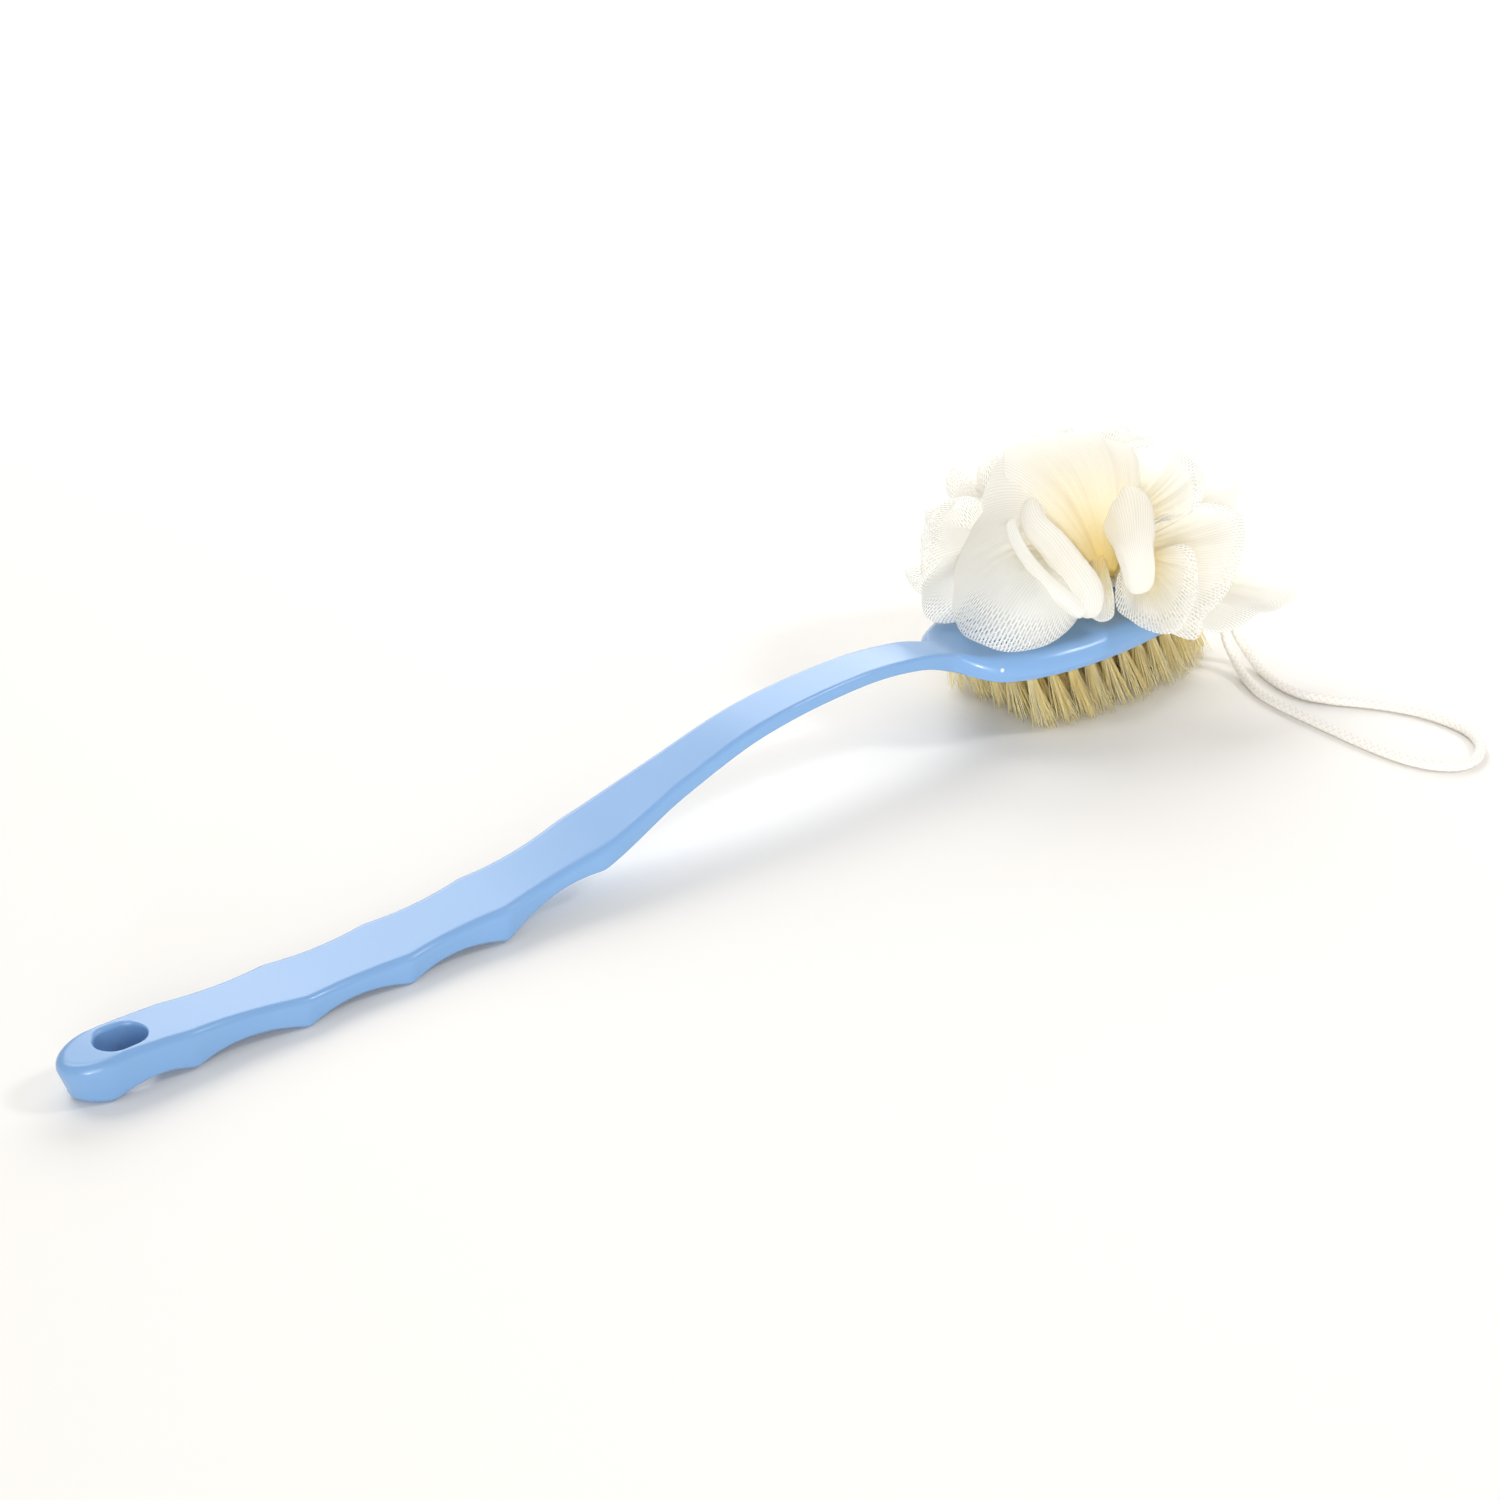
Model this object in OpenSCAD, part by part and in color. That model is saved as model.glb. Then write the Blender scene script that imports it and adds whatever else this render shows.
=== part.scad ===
// Long-handled back scrubber. A one-piece moulded handle and head carries bristle tufts below
// and a netting pouf tied to a small bridge on its back.
// Frame: +X along the handle towards the head, +Y across it, +Z up. The scrubber stands on
// its finger bumps and bristle tips at z = 0. The origin is the middle of its footprint box.

/* [Handle] */
// From the handle end to the first finger bump
end_len = 29.5; // [25:0.5:36]
// Spacing of the first four finger bumps
finger_pitch = 29; // [24:1:35]
// Length of the last finger groove, at the neck
last_groove = 31.5; // [26:0.5:38]
// From the last finger bump to the start of the head
neck_len = 133; // [110:1:160]
// Width of the round handle end
end_w = 16.6; // [14:0.2:20]
// Length of the rounding at the handle end
nose_len = 11; // [8:0.5:13]
// Width across the finger bumps
grip_w = 22.4; // [18:0.2:27]
// Width of the slim neck
neck_w = 14; // [11.6:0.2:16.8]
// How far each side scallop dips in
side_scallop = 1.3; // [0.6:0.1:1.8]
// How far each finger groove rises from below
groove_depth = 2.4; // [1:0.1:3.2]

/* [Handle profile] */
// Height of the top face at the hang slot
end_h = 11.6; // [9.6:0.2:14]
// Lowest height of the top face, in the palm
palm_h = 7.9; // [7:0.1:9.6]
// Height of the top face over the last finger bump
last_bump_h = 15.6; // [13:0.2:19]
// Thickness at the last finger bump
last_bump_t = 6.8; // [5.6:0.2:8.2]
// Thickness of the neck at the top of its arch
neck_t = 4.2; // [3.4:0.1:5.2]
// Rise of the arch above the back of the head
arch_rise = 6.8; // [5:0.2:9]

/* [Hang slot] */
// Distance from the handle end to the middle of the slot
slot_pos = 15.6; // [13:0.2:18]
// Length of the slot along the handle
slot_len = 12.4; // [10.4:0.2:15]
// Width of the slot
slot_w = 9.8; // [8:0.2:10.8]

/* [Head] */
// Length of the head
head_len = 104; // [86:1:126]
// Width of the head
head_w = 51; // [42:1:62]
// Thickness of the head
head_t = 7.4; // [6.6:0.2:9]
// Height of the underside of the head above the bristle tips
bristle_len = 20; // [16:0.5:25]

/* [Bristles] */
// Diameter of each tuft hole
hole_d = 2.8; // [2.2:0.1:3.4]
// Depth of each tuft hole
hole_depth = 4.4; // [3.4:0.1:4.8]
// Clear rim between the tufts and the edge of the head
rim = 5; // [4:0.2:7]
// From the start of the head to the first row of tufts
first_row = 20; // [18:1:26]
// Lean of the bristles towards the head tip, in degrees
lean = 27; // [0:1:32]
// Gap between the tips of neighbouring tufts
tip_gap = 0.6; // [0.3:0.1:1.5]

/* [Staples] */
// Length of the flat wire that holds each tuft
staple_len = 3.8; // [3.6:0.1:4.4]
// Thickness of the flat wire
staple_t = 0.4; // [0.3:0.1:0.6]
// Height of the flat wire
staple_h = 1.4; // [1:0.1:1.8]

/* [Pouf] */
// Radius of the netting pouf
pouf_r = 57; // [47:1:69]
// Height of the netting pouf
pouf_h = 50; // [42:1:60]
// Distance of the tie from the middle of the head, towards the tip
tie_offset = 10; // [4:1:14]
// Radius of the gathered core that the winding grips
core_r = 8.8; // [8:0.2:11]

/* [Tie bridge] */
// Thickness of the bridge bar
bar_t = 2.6; // [2.2:0.1:3.2]
// Width of the bridge bar
bar_w = 3; // [2.6:0.1:3.6]
// Clear span of the bridge
span = 8; // [6:0.5:9]
// Width of each bridge post
post_w = 2.6; // [2:0.2:3.2]

/* [Cord] */
// Diameter of the braided cord
cord_d = 2.9; // [2.6:0.1:3.2]
// Clearance between moving and fixed pieces
clear = 0.3; // [0.2:0.05:0.5]

/* [Hidden] */
$fn = 48;
ROWS = 12;
TUFT_NODES = [for (r = [1 : ROWS]) str("tuft_row_", r)];
STAPLE_NODES = [for (r = [1 : ROWS]) str("staple_row_", r)];
eps = 0.01;

// Places along the handle, measured from its end
bump_x = [for (i = [0 : 4]) end_len + min(i, 3) * finger_pitch + max(i - 3, 0) * last_groove];
head_x = bump_x[4] + neck_len;
brush_len = head_x + head_len;
head_mid = head_x + head_len / 2;
head_top = bristle_len + head_t;
arch_h = head_top + arch_rise;
arch_x = head_x - neck_len * 0.29;
tie_x = head_mid + tie_offset;
// The back levels out 8 after the head starts, the underside 10 after
back_x = head_x + 8;
under_x = head_x + 10;
nose_flat = 9;

// The origin is the middle of the box round everything but the cord
box_x = max(brush_len, tie_x + pouf_r);
origin_x = box_x / 2;

// Heights of the underside at the five finger bumps
bump_z = [0.6, 0, 0, 0.5, last_bump_h - last_bump_t];

// Smooth lines through [distance, value] points
top_points = [
    [0, end_h - 0.9],
    [slot_pos, end_h],
    [bump_x[1] + finger_pitch / 3, palm_h],
    [bump_x[3], last_bump_h - 5.5],
    [bump_x[4], last_bump_h],
    [head_x - neck_len * 0.78, arch_h - 9.8],
    [head_x - neck_len * 0.56, arch_h - 2.5],
    [arch_x, arch_h],
    [head_x - neck_len * 0.105, arch_h - 2],
    [back_x, head_top],
    [brush_len, head_top]
];
thick_points = [
    [bump_x[4], last_bump_t],
    [head_x - neck_len * 0.78, neck_t + 1.2],
    [arch_x, neck_t],
    [head_x - neck_len * 0.09, neck_t + 0.5],
    [under_x, head_t]
];
half_points = [
    [0, end_w / 2],
    [slot_pos, end_w / 2],
    [bump_x[0], end_w / 2 + 0.6],
    [bump_x[1], grip_w / 2 - 0.3],
    [bump_x[2], grip_w / 2],
    [bump_x[4], grip_w / 2 - 0.4],
    [head_x - neck_len * 0.78, neck_w / 2 + 1.3],
    [head_x - neck_len * 0.5, neck_w / 2 + 0.4],
    [head_x, neck_w / 2 - 0.1],
    [brush_len, neck_w / 2 - 0.1]
];

// Tufts: rows across the head, each row spread evenly between the rims
row_step = (head_len - first_row - rim - 1) / (ROWS - 1);
root_r = hole_d / 2 - 0.02;
tip_r = (row_step * cos(lean) - tip_gap) / 2;
mouth_sink = root_r * tan(lean) + 0.1;

// Bridge, ring and knot on the back of the head
ring_r = norm([bar_t, bar_w]) / 2 + 0.15 + cord_d / 2;
ring_z = head_top + 0.1 + ring_r + cord_d / 2;
bar_z = ring_z - bar_t / 2;
knot_r = 2.6;
knot_z = head_top + knot_r + 0.05;
knot_x = tie_x + sqrt(pow(ring_r + cord_d / 2 + knot_r - 0.4, 2) - pow(ring_z - knot_z, 2));

// Pouf: three gathered nets one on another
pouf_z = head_top + cord_d + 2 * clear;
pouf_top = pouf_z + pouf_h;
belly_z = pouf_z + pouf_h * 0.46;
net_z = [pouf_z, pouf_z + pouf_h * 0.31, pouf_z + pouf_h * 0.65, pouf_top];
winding_z = ring_z + ring_r + cord_d / 2 + clear;
winding_top = net_z[2] - 1;
bay_r = max(knot_x + knot_r - tie_x, norm([span / 2 + post_w, bar_w / 2])) + 2 * clear;

// Cord loop: from the knot over the rim of the head, out along the floor and back. Each point
// is [distance from the tie towards the tip, distance across, height], laid for a head with its
// tip 42 from the tie, 51 wide and 27.4 high at the back, and a cord of radius 1.45.
cord_r = cord_d / 2;
cord_sides = 8;
laid_tip = 42;
laid_w = 51;
laid_h = 27.4;
laid_r = 1.45;
cord_lay = [
    [8, 1.5, 29.8], [14, 1.4, 29], [21, -2, 29], [28, -8.5, 29],
    [34, -14.8, 28.9], [39, -18.6, 26.6], [43, -20.6, 21.6], [45.6, -21.6, 15.4],
    [46.8, -23, 9.4], [46.4, -28.2, 4.6], [43.2, -37, 1.7], [39.4, -47, 1.5],
    [38.8, -56, 1.5], [42.6, -64.5, 1.5], [47.6, -71.5, 1.5], [52, -79, 1.5],
    [55, -87, 1.5], [56, -96, 1.5], [54.6, -104, 1.5], [49.6, -111, 1.5],
    [42, -115, 1.5], [34.6, -114.8, 1.5], [29, -110, 1.5], [26, -103, 1.5],
    [25, -94, 1.5], [25.2, -84, 1.5], [26, -74, 1.5], [27, -63, 1.5],
    [28, -54, 1.5], [30.6, -45, 1.5], [36.2, -34.8, 2.2], [39.4, -28.4, 5],
    [40, -24.6, 9.6], [39.2, -23.8, 15.4], [36.8, -23.4, 21.6], [33.4, -22.4, 26.6],
    [28.6, -19.2, 28.9], [23, -14, 29], [17.6, -8, 29], [12.6, -3, 29],
    [8, -1.5, 29.8]
];
// The stretch next to the knot keeps its place, and the rest follows the head's size
knot_reach = 8;
ease_len = 20;
function eased(x) = min(1, max(0, (x - knot_reach) / ease_len));
function lay_height(z) =
    (z > 26 ? head_top + z - laid_h : z > 2.5 ? z * head_top / laid_h : z) + cord_r - laid_r;
cord_route = [for (p = cord_lay)
    let (e = eased(p[0]), grow_x = (brush_len - tie_x) / laid_tip, grow_y = head_w / laid_w)
    [tie_x - origin_x + p[0] * (1 + (grow_x - 1) * e), p[1] * (1 + (grow_y - 1) * e),
        lay_height(p[2])]
];

// Slope of a line of points at point i, from its neighbours
function slope(p, i) =
    let (a = max(i - 1, 0), b = min(i + 1, len(p) - 1))
    (p[b][1] - p[a][1]) / (p[b][0] - p[a][0]);

// The stretch of a line of points that holds x
function stretch(p, x, i = 0) = (i >= len(p) - 2 || x < p[i + 1][0]) ? i : stretch(p, x, i + 1);

// Height of a smooth cubic line through the points p at x
function line_at(p, x) =
    let (i = stretch(p, x), w = p[i + 1][0] - p[i][0], t = (x - p[i][0]) / w,
        t2 = t * t, t3 = t2 * t)
    (2 * t3 - 3 * t2 + 1) * p[i][1] + (t3 - 2 * t2 + t) * w * slope(p, i)
    + (3 * t2 - 2 * t3) * p[i + 1][1] + (t3 - t2) * w * slope(p, i + 1);

// The groove that holds x, counted by the bump before it, or -1 before the first bump
function groove_of(x) = x < bump_x[0] ? -1 : min(floor((x - bump_x[0]) / finger_pitch), 3);

// 0 at the bumps either side of x and 1 midway, in one arc
function scallop(x) =
    (x <= nose_flat || x >= bump_x[4]) ? 0 :
    let (i = groove_of(x), a = i < 0 ? nose_flat : bump_x[i], b = bump_x[i + 1],
        u = (2 * x - a - b) / (b - a))
    1 - u * u;

// Straight line from bump to bump below the grip
function chord(x) =
    x <= nose_flat ? 0 :
    x < bump_x[0] ? bump_z[0] * (x - nose_flat) / (bump_x[0] - nose_flat) :
    let (i = groove_of(x), t = (x - bump_x[i]) / (bump_x[i + 1] - bump_x[i]))
    bump_z[i] + (bump_z[i + 1] - bump_z[i]) * t;

function top_at(x) = x >= back_x ? head_top : line_at(top_points, x);

function under_at(x) =
    x < bump_x[4] ? chord(x) + groove_depth * scallop(x) :
    x < under_x ? top_at(x) - line_at(thick_points, x) : bristle_len;

// Half width of the egg-shaped head
function head_half(x) =
    x <= head_x ? 0 :
    let (u = min(abs(x - head_mid) / (head_len / 2), 1))
    head_w / 2 * pow(1 - pow(u, 2.3), 1 / 2.3);

// Half width of the oval handle end
function nose_half(x) = end_w / 2 * sqrt(1 - pow(1 - x / nose_len, 2));

// Half width of the moulding, handle and head faired together
function half_at(x) =
    x < nose_len ? nose_half(x) :
    x <= head_x ? line_at(half_points, x) - side_scallop * (x > bump_x[0] ? scallop(x) : 0) :
    let (fade = min(1, (brush_len - x) / (head_len / 2)))
    pow(pow(line_at(half_points, x) * fade, 3) + pow(head_half(x), 3), 1 / 3);

// Stations along the moulding, closer together where it turns
stations = concat(
    [for (k = [0 : 7]) nose_len * (1 - cos(k * 90 / 8))],
    [for (k = [0 : 5]) nose_len + (end_len - nose_len) * k / 6],
    [for (i = [0 : 3], k = [0 : 9]) bump_x[i] + (bump_x[i + 1] - bump_x[i]) * k / 10],
    [for (k = [0 : 27]) bump_x[4] + neck_len * k / 28],
    [for (k = [0 : 30]) head_mid - head_len / 2 * cos(k * 6)]
);

function reversed(p) = [for (i = [len(p) - 1 : -1 : 0]) p[i]];

function row_x(r) = head_x + first_row + (r - 1) * row_step;
function row_half(r) = half_at(row_x(r)) - rim;
function row_count(r) = floor(2 * row_half(r) / row_step) + 1;
function tuft_places(r) =
    let (n = row_count(r), h = row_half(r))
    [for (k = [0 : n - 1]) [row_x(r), n == 1 ? 0 : -h + 2 * h * k / (n - 1)]];

// Puts a piece built from the handle end into the part's frame
module placed() { translate([-origin_x, 0, 0]) children(); }

module side_outline() {
    polygon(concat(
        [for (x = stations) [x, top_at(x)]],
        reversed([for (x = stations) [x, under_at(x)]])
    ));
}

module plan_outline() {
    inner = [for (i = [1 : len(stations) - 2]) stations[i]];
    polygon(concat(
        [[0, 0]],
        [for (x = inner) [x, -half_at(x)]],
        [[brush_len, 0]],
        reversed([for (x = inner) [x, half_at(x)]])
    ));
}

module hang_slot() {
    for (s = [-1, 1]) {
        translate([slot_pos + s * (slot_len - slot_w) / 2, 0, -1]) cylinder(d = slot_w, h = end_h + 10);
    }
    translate([slot_pos - (slot_len - slot_w) / 2, -slot_w / 2, -1])
        cube([slot_len - slot_w, slot_w, end_h + 10]);
}

module tie_bridge() {
    outer = span + 2 * post_w;
    translate([tie_x - bar_w / 2, -outer / 2, bar_z]) cube([bar_w, outer, bar_t]);
    for (s = [-1, 1]) {
        translate([tie_x - bar_w / 2, s * (span + post_w) / 2 - post_w / 2, head_top - 1])
            cube([bar_w, post_w, bar_z - head_top + 1 + eps]);
    }
}

// Flat wire across the bottom of a tuft hole, grown by g for the slot that it is pressed into
module staple_at(p, g = 0) {
    translate([p[0], p[1], bristle_len + hole_depth - staple_h / 2])
        cube([staple_t + g, staple_len + g, staple_h + g], center = true);
}

module tuft_hole(p) {
    translate([p[0], p[1], bristle_len - 1]) cylinder(d = hole_d, h = hole_depth + 1);
    staple_at(p);
}

// One tuft: folded round its staple in the hole, then leaning and widening to the floor
module tuft_at(p) {
    long = (bristle_len + mouth_sink) / cos(lean) + tip_r * 2;
    flare = (tip_r - root_r) / ((bristle_len + mouth_sink) / cos(lean));
    difference() {
        union() {
            translate([p[0], p[1], bristle_len]) cylinder(r = root_r, h = hole_depth - 0.02);
            intersection() {
                translate([p[0], p[1], bristle_len + mouth_sink]) rotate([0, 180 - lean, 0])
                    cylinder(r1 = root_r * cos(lean) - 0.1, r2 = root_r + flare * long, h = long);
                translate([p[0] - 20, p[1] - 20, 0]) cube([60, 40, bristle_len + eps]);
            }
        }
        staple_at(p);
    }
}

module brush_body() {
    color("#8fbcee") placed() {
        difference() {
            intersection() {
                translate([0, head_w, 0]) rotate([90, 0, 0]) linear_extrude(2 * head_w) side_outline();
                linear_extrude(2 * arch_h) plan_outline();
            }
            hang_slot();
            for (r = [1 : ROWS], p = tuft_places(r)) tuft_hole(p);
        }
        tie_bridge();
    }
}

module tuft_row(r) {
    color("#f0e7b4") placed() for (p = tuft_places(r)) tuft_at(p);
}

module staple_row(r) {
    color("#b9bcc2") placed() for (p = tuft_places(r)) staple_at(p);
}

// Radius of the pouf at height z: a rounded cushion shape, fuller below its middle
function pouf_half(z) =
    let (h = z < belly_z ? (belly_z - pouf_z) * 1.14 : pouf_top - belly_z)
    pouf_r * pow(max(0, 1 - pow(abs(z - belly_z) / h, 2.4)), 1 / 2.4);

// One gathered net between two heights, open round the core
module net_layer(z0, z1, core) {
    steps = 8;
    zs = [for (k = [0 : steps]) z0 + (z1 - z0) * k / steps];
    translate([tie_x, 0, 0]) rotate_extrude($fn = 72)
        polygon(concat([[core, z0]], [for (z = zs) [max(pouf_half(z), core + 1), z]], [[core, z1]]));
}

module net_lower() {
    color("#f7efcf") placed() difference() {
        net_layer(net_z[0], net_z[1], core_r);
        translate([tie_x, 0, pouf_z - 1]) cylinder(r = bay_r, h = winding_z - pouf_z + 1);
    }
}

module net_middle() {
    color("#faf4dc") placed() net_layer(net_z[1], net_z[2], core_r);
}

module net_upper() {
    zs = [for (k = [0 : 11]) net_z[2] + (net_z[3] - net_z[2]) * sin(k * 90 / 12)];
    color("#fdf9e9") placed() translate([tie_x, 0, 0]) rotate_extrude($fn = 72)
        polygon(concat([[0, net_z[2]]], [for (z = zs) [pouf_half(z), z]], [[0, net_z[3]]]));
}

// Cord wound round the gathered core of the nets
module tie_winding() {
    color("#f6f2e6") placed() translate([tie_x, 0, winding_z])
        cylinder(r = core_r, h = winding_top - winding_z);
}

// The turn of cord that runs under the bridge bar and up into the core
module tie_ring() {
    color("#f8f5ec") placed() translate([tie_x, 0, ring_z]) rotate([90, 0, 0])
        rotate_extrude() translate([ring_r, 0]) circle(r = cord_r, $fn = 24);
}

module tie_knot() {
    color("#f8f5ec") placed() translate([knot_x, 0, knot_z]) sphere(r = knot_r);
}

// Tube of round section swept along route points by one polyhedron. Each ring's side direction
// is the one before it, turned only as much as the route turns, so the tube doesn't twist.
function unit(v) = v / norm(v);
function along(p, i) = unit(p[min(i + 1, len(p) - 1)] - p[max(i - 1, 0)]);
function carried(s, t) = unit(s - (s * t) * t);
function sides(p, i = 0, s = [0, 0, 1]) =
    i == len(p) ? [] : let (c = carried(s, along(p, i))) concat([c], sides(p, i + 1, c));
module swept(p, r, n) {
    last = len(p) - 1;
    s = sides(p);
    rings = [for (i = [0 : last])
        let (u = cross(along(p, i), s[i]))
        for (k = [0 : n - 1]) p[i] + r * (cos(k * 360 / n) * s[i] + sin(k * 360 / n) * u)];
    walls = [for (i = [0 : last - 1], k = [0 : n - 1])
        [(i + 1) * n + k, (i + 1) * n + (k + 1) % n, i * n + (k + 1) % n, i * n + k]];
    start = [for (k = [0 : n - 1]) k];
    finish = [for (k = [n - 1 : -1 : 0]) last * n + k];
    polyhedron(rings, concat(walls, [start, finish]));
}

module cord_loop() {
    color("#fbf9f4") swept(cord_route, cord_r, cord_sides);
}

brush_body();
for (r = [1 : ROWS]) {
    tuft_row(r);
    staple_row(r);
}
net_lower();
net_middle();
net_upper();
tie_winding();
tie_ring();
tie_knot();
cord_loop();
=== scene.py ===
"""Back scrubber: moulded handle and head, bristle tufts, netting pouf, hanging cord.

Lengths are in millimetres in the shapes below and turned to metres where a mesh is made.
Handle shapes run on s, the distance from the handle end; row X = s - ORIGIN.
"""

import logging
from dataclasses import dataclass, field
from enum import Enum
from typing import Callable, Sequence

import bmesh
import bpy
import numpy as np
from mathutils import Matrix, Vector


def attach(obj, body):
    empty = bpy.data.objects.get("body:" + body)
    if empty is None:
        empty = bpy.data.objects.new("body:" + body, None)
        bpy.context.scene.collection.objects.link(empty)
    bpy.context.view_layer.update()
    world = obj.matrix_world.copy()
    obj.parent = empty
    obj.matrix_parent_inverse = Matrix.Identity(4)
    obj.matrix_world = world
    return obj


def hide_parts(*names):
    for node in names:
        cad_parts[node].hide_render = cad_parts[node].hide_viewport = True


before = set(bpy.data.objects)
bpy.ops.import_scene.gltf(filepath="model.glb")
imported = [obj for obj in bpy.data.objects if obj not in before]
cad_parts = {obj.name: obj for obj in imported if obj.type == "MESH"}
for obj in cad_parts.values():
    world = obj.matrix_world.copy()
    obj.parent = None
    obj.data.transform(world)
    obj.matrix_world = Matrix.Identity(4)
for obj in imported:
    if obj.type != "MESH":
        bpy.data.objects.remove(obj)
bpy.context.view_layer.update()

LOG = logging.getLogger("scrubber")
Array = np.ndarray

# One millimetre in metres
MM = 0.001
# Distance from the handle end to the row origin, and from there to the tie
ORIGIN = 200.0
TIE_X = 143.0
ROWS = 12
TAU = 2.0 * np.pi
GOLDEN = 0.61803398875


class Body(Enum):
    """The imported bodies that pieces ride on."""

    BRUSH = "brush"
    POUF = "pouf"


class Slot(Enum):
    """The material slots."""

    PLASTIC = "moulded_pp"
    BRISTLE = "bristle"
    WIRE = "staple_wire"
    NETTING = "netting"
    CORD = "cord"


class Join(Enum):
    """What a second closed mesh does to the first."""

    CUT = "DIFFERENCE"
    ADD = "UNION"


# ---------------------------------------------------------------- small mathematics


def smoothstep(low: float, high: float, x: Array) -> Array:
    """0 below low, 1 above high, and 3t^2 - 2t^3 between."""
    t = np.clip((np.asarray(x, float) - low) / (high - low), 0.0, 1.0)
    return t * t * (3.0 - 2.0 * t)


def unit(v: Array) -> Array:
    """Vectors along the last axis, each divided by its length."""
    return v / np.maximum(np.linalg.norm(v, axis=-1, keepdims=True), 1e-12)


def smooth_line(knots: Sequence[Sequence[float]], x: Array) -> Array:
    """Cubic line through knots: Hermite pieces whose slopes come from the neighbours.

    Args:
        knots: (place, value) pairs in rising order of place.
        x: places to read.

    Returns:
        The value at each place.
    """
    k = np.asarray(knots, float)
    at, value = k[:, 0], k[:, 1]
    n = len(at)
    low, high = np.maximum(np.arange(n) - 1, 0), np.minimum(np.arange(n) + 1, n - 1)
    slope = (value[high] - value[low]) / (at[high] - at[low])
    i = np.clip(np.searchsorted(at, x, side="right") - 1, 0, n - 2)
    w = at[i + 1] - at[i]
    t = np.clip((x - at[i]) / w, 0.0, 1.0)
    t2, t3 = t * t, t * t * t
    return (
        (2 * t3 - 3 * t2 + 1) * value[i]
        + (t3 - 2 * t2 + t) * w * slope[i]
        + (3 * t2 - 2 * t3) * value[i + 1]
        + (t3 - t2) * w * slope[i + 1]
    )


def smooth_curve(knots: Array, count: int) -> Array:
    """Points evenly spaced on a Catmull-Rom curve through knots in space.

    Args:
        knots: points to pass through, one a row.
        count: points to return.

    Returns:
        count points, from the first knot to the last.
    """
    k = np.asarray(knots, float)
    ring = np.vstack([2 * k[:1] - k[1:2], k, 2 * k[-1:] - k[-2:-1]])
    spans = len(k) - 1
    q = np.linspace(0.0, spans, spans * 60 + 1)
    i = np.minimum(q.astype(int), spans - 1)
    t = (q - i)[:, None]
    a, b, c, d = ring[i], ring[i + 1], ring[i + 2], ring[i + 3]
    line = 0.5 * (
        2 * b + (c - a) * t + (2 * a - 5 * b + 4 * c - d) * t**2 + (3 * b - a - 3 * c + d) * t**3
    )
    run = np.concatenate([[0.0], np.cumsum(np.linalg.norm(np.diff(line, axis=0), axis=1))])
    want = np.linspace(0.0, run[-1], count)
    return np.stack([np.interp(want, run, line[:, j]) for j in range(line.shape[1])], axis=1)


def softened(values: Array, step: float, width: float) -> Array:
    """Evenly spaced values averaged with a bell curve, so that a cusp becomes round.

    Args:
        values: the values, one a step.
        step: distance between two of them.
        width: standard deviation of the bell, in the same unit.

    Returns:
        As many values, softened.
    """
    reach = int(np.ceil(3 * width / step))
    bell = np.exp(-0.5 * (np.arange(-reach, reach + 1) * step / width) ** 2)
    padded = np.pad(values, reach, mode="edge")
    return np.convolve(padded, bell / bell.sum(), mode="valid")


def carried_frames(path: Array, closed: bool = False) -> tuple[Array, Array, Array]:
    """Directions along and across a path that don't twist about it.

    Each across direction starts as the part of one fixed vector square to the path, and is
    then turned back by the twist that this choice has gathered up to there.

    Args:
        path: points, one a row.
        closed: whether the last point joins the first.

    Returns:
        Unit vectors along, across and square to both, one of each at every point.
    """
    if closed:
        along = unit(np.roll(path, -1, axis=0) - np.roll(path, 1, axis=0))
    else:
        along = unit(np.gradient(path, axis=0))
    # Evenly spread directions, of which the one least in line with the path is the fixed vector
    count = 200
    k = np.arange(count) + 0.5
    polar, turn = np.arccos(1 - 2 * k / count), TAU * k * GOLDEN
    tries = np.stack([np.cos(turn) * np.sin(polar), np.sin(turn) * np.sin(polar), np.cos(polar)], 1)
    fixed = tries[np.argmin(np.abs(tries @ along.T).max(axis=1))]
    across = unit(fixed - (along @ fixed)[:, None] * along)
    other = np.cross(along, across)
    change = np.diff(across, axis=0)
    twist = np.concatenate([[0.0], -np.cumsum((change * 0.5 * (other[1:] + other[:-1])).sum(1))])
    if closed:
        twist -= twist[-1] * np.linspace(0.0, 1.0, len(twist))
    c, s = np.cos(twist)[:, None], np.sin(twist)[:, None]
    across = unit(across * c + other * s)
    return along, across, np.cross(along, across)


# ---------------------------------------------------------------- meshes


def grid_faces(rows: int, cols: int, wrap_rows: bool = False, wrap_cols: bool = False) -> Array:
    """Four-cornered faces of a grid of points numbered along its rows.

    Args:
        rows: points down the grid.
        cols: points across it.
        wrap_rows: whether the last row joins the first.
        wrap_cols: whether the last column joins the first.

    Returns:
        One row of four point numbers for each face.
    """
    r = np.arange(rows if wrap_rows else rows - 1)[:, None]
    c = np.arange(cols if wrap_cols else cols - 1)[None, :]
    r2, c2 = (r + 1) % rows, (c + 1) % cols
    corners = [r * cols + c, r * cols + c2, r2 * cols + c2, r2 * cols + c]
    return np.stack(np.broadcast_arrays(*corners), axis=-1).reshape(-1, 4)


def corner_values(faces: Array, values: Array) -> Array:
    """Values of the points taken to the corners of the faces."""
    return values[faces.reshape(-1)]


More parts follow.
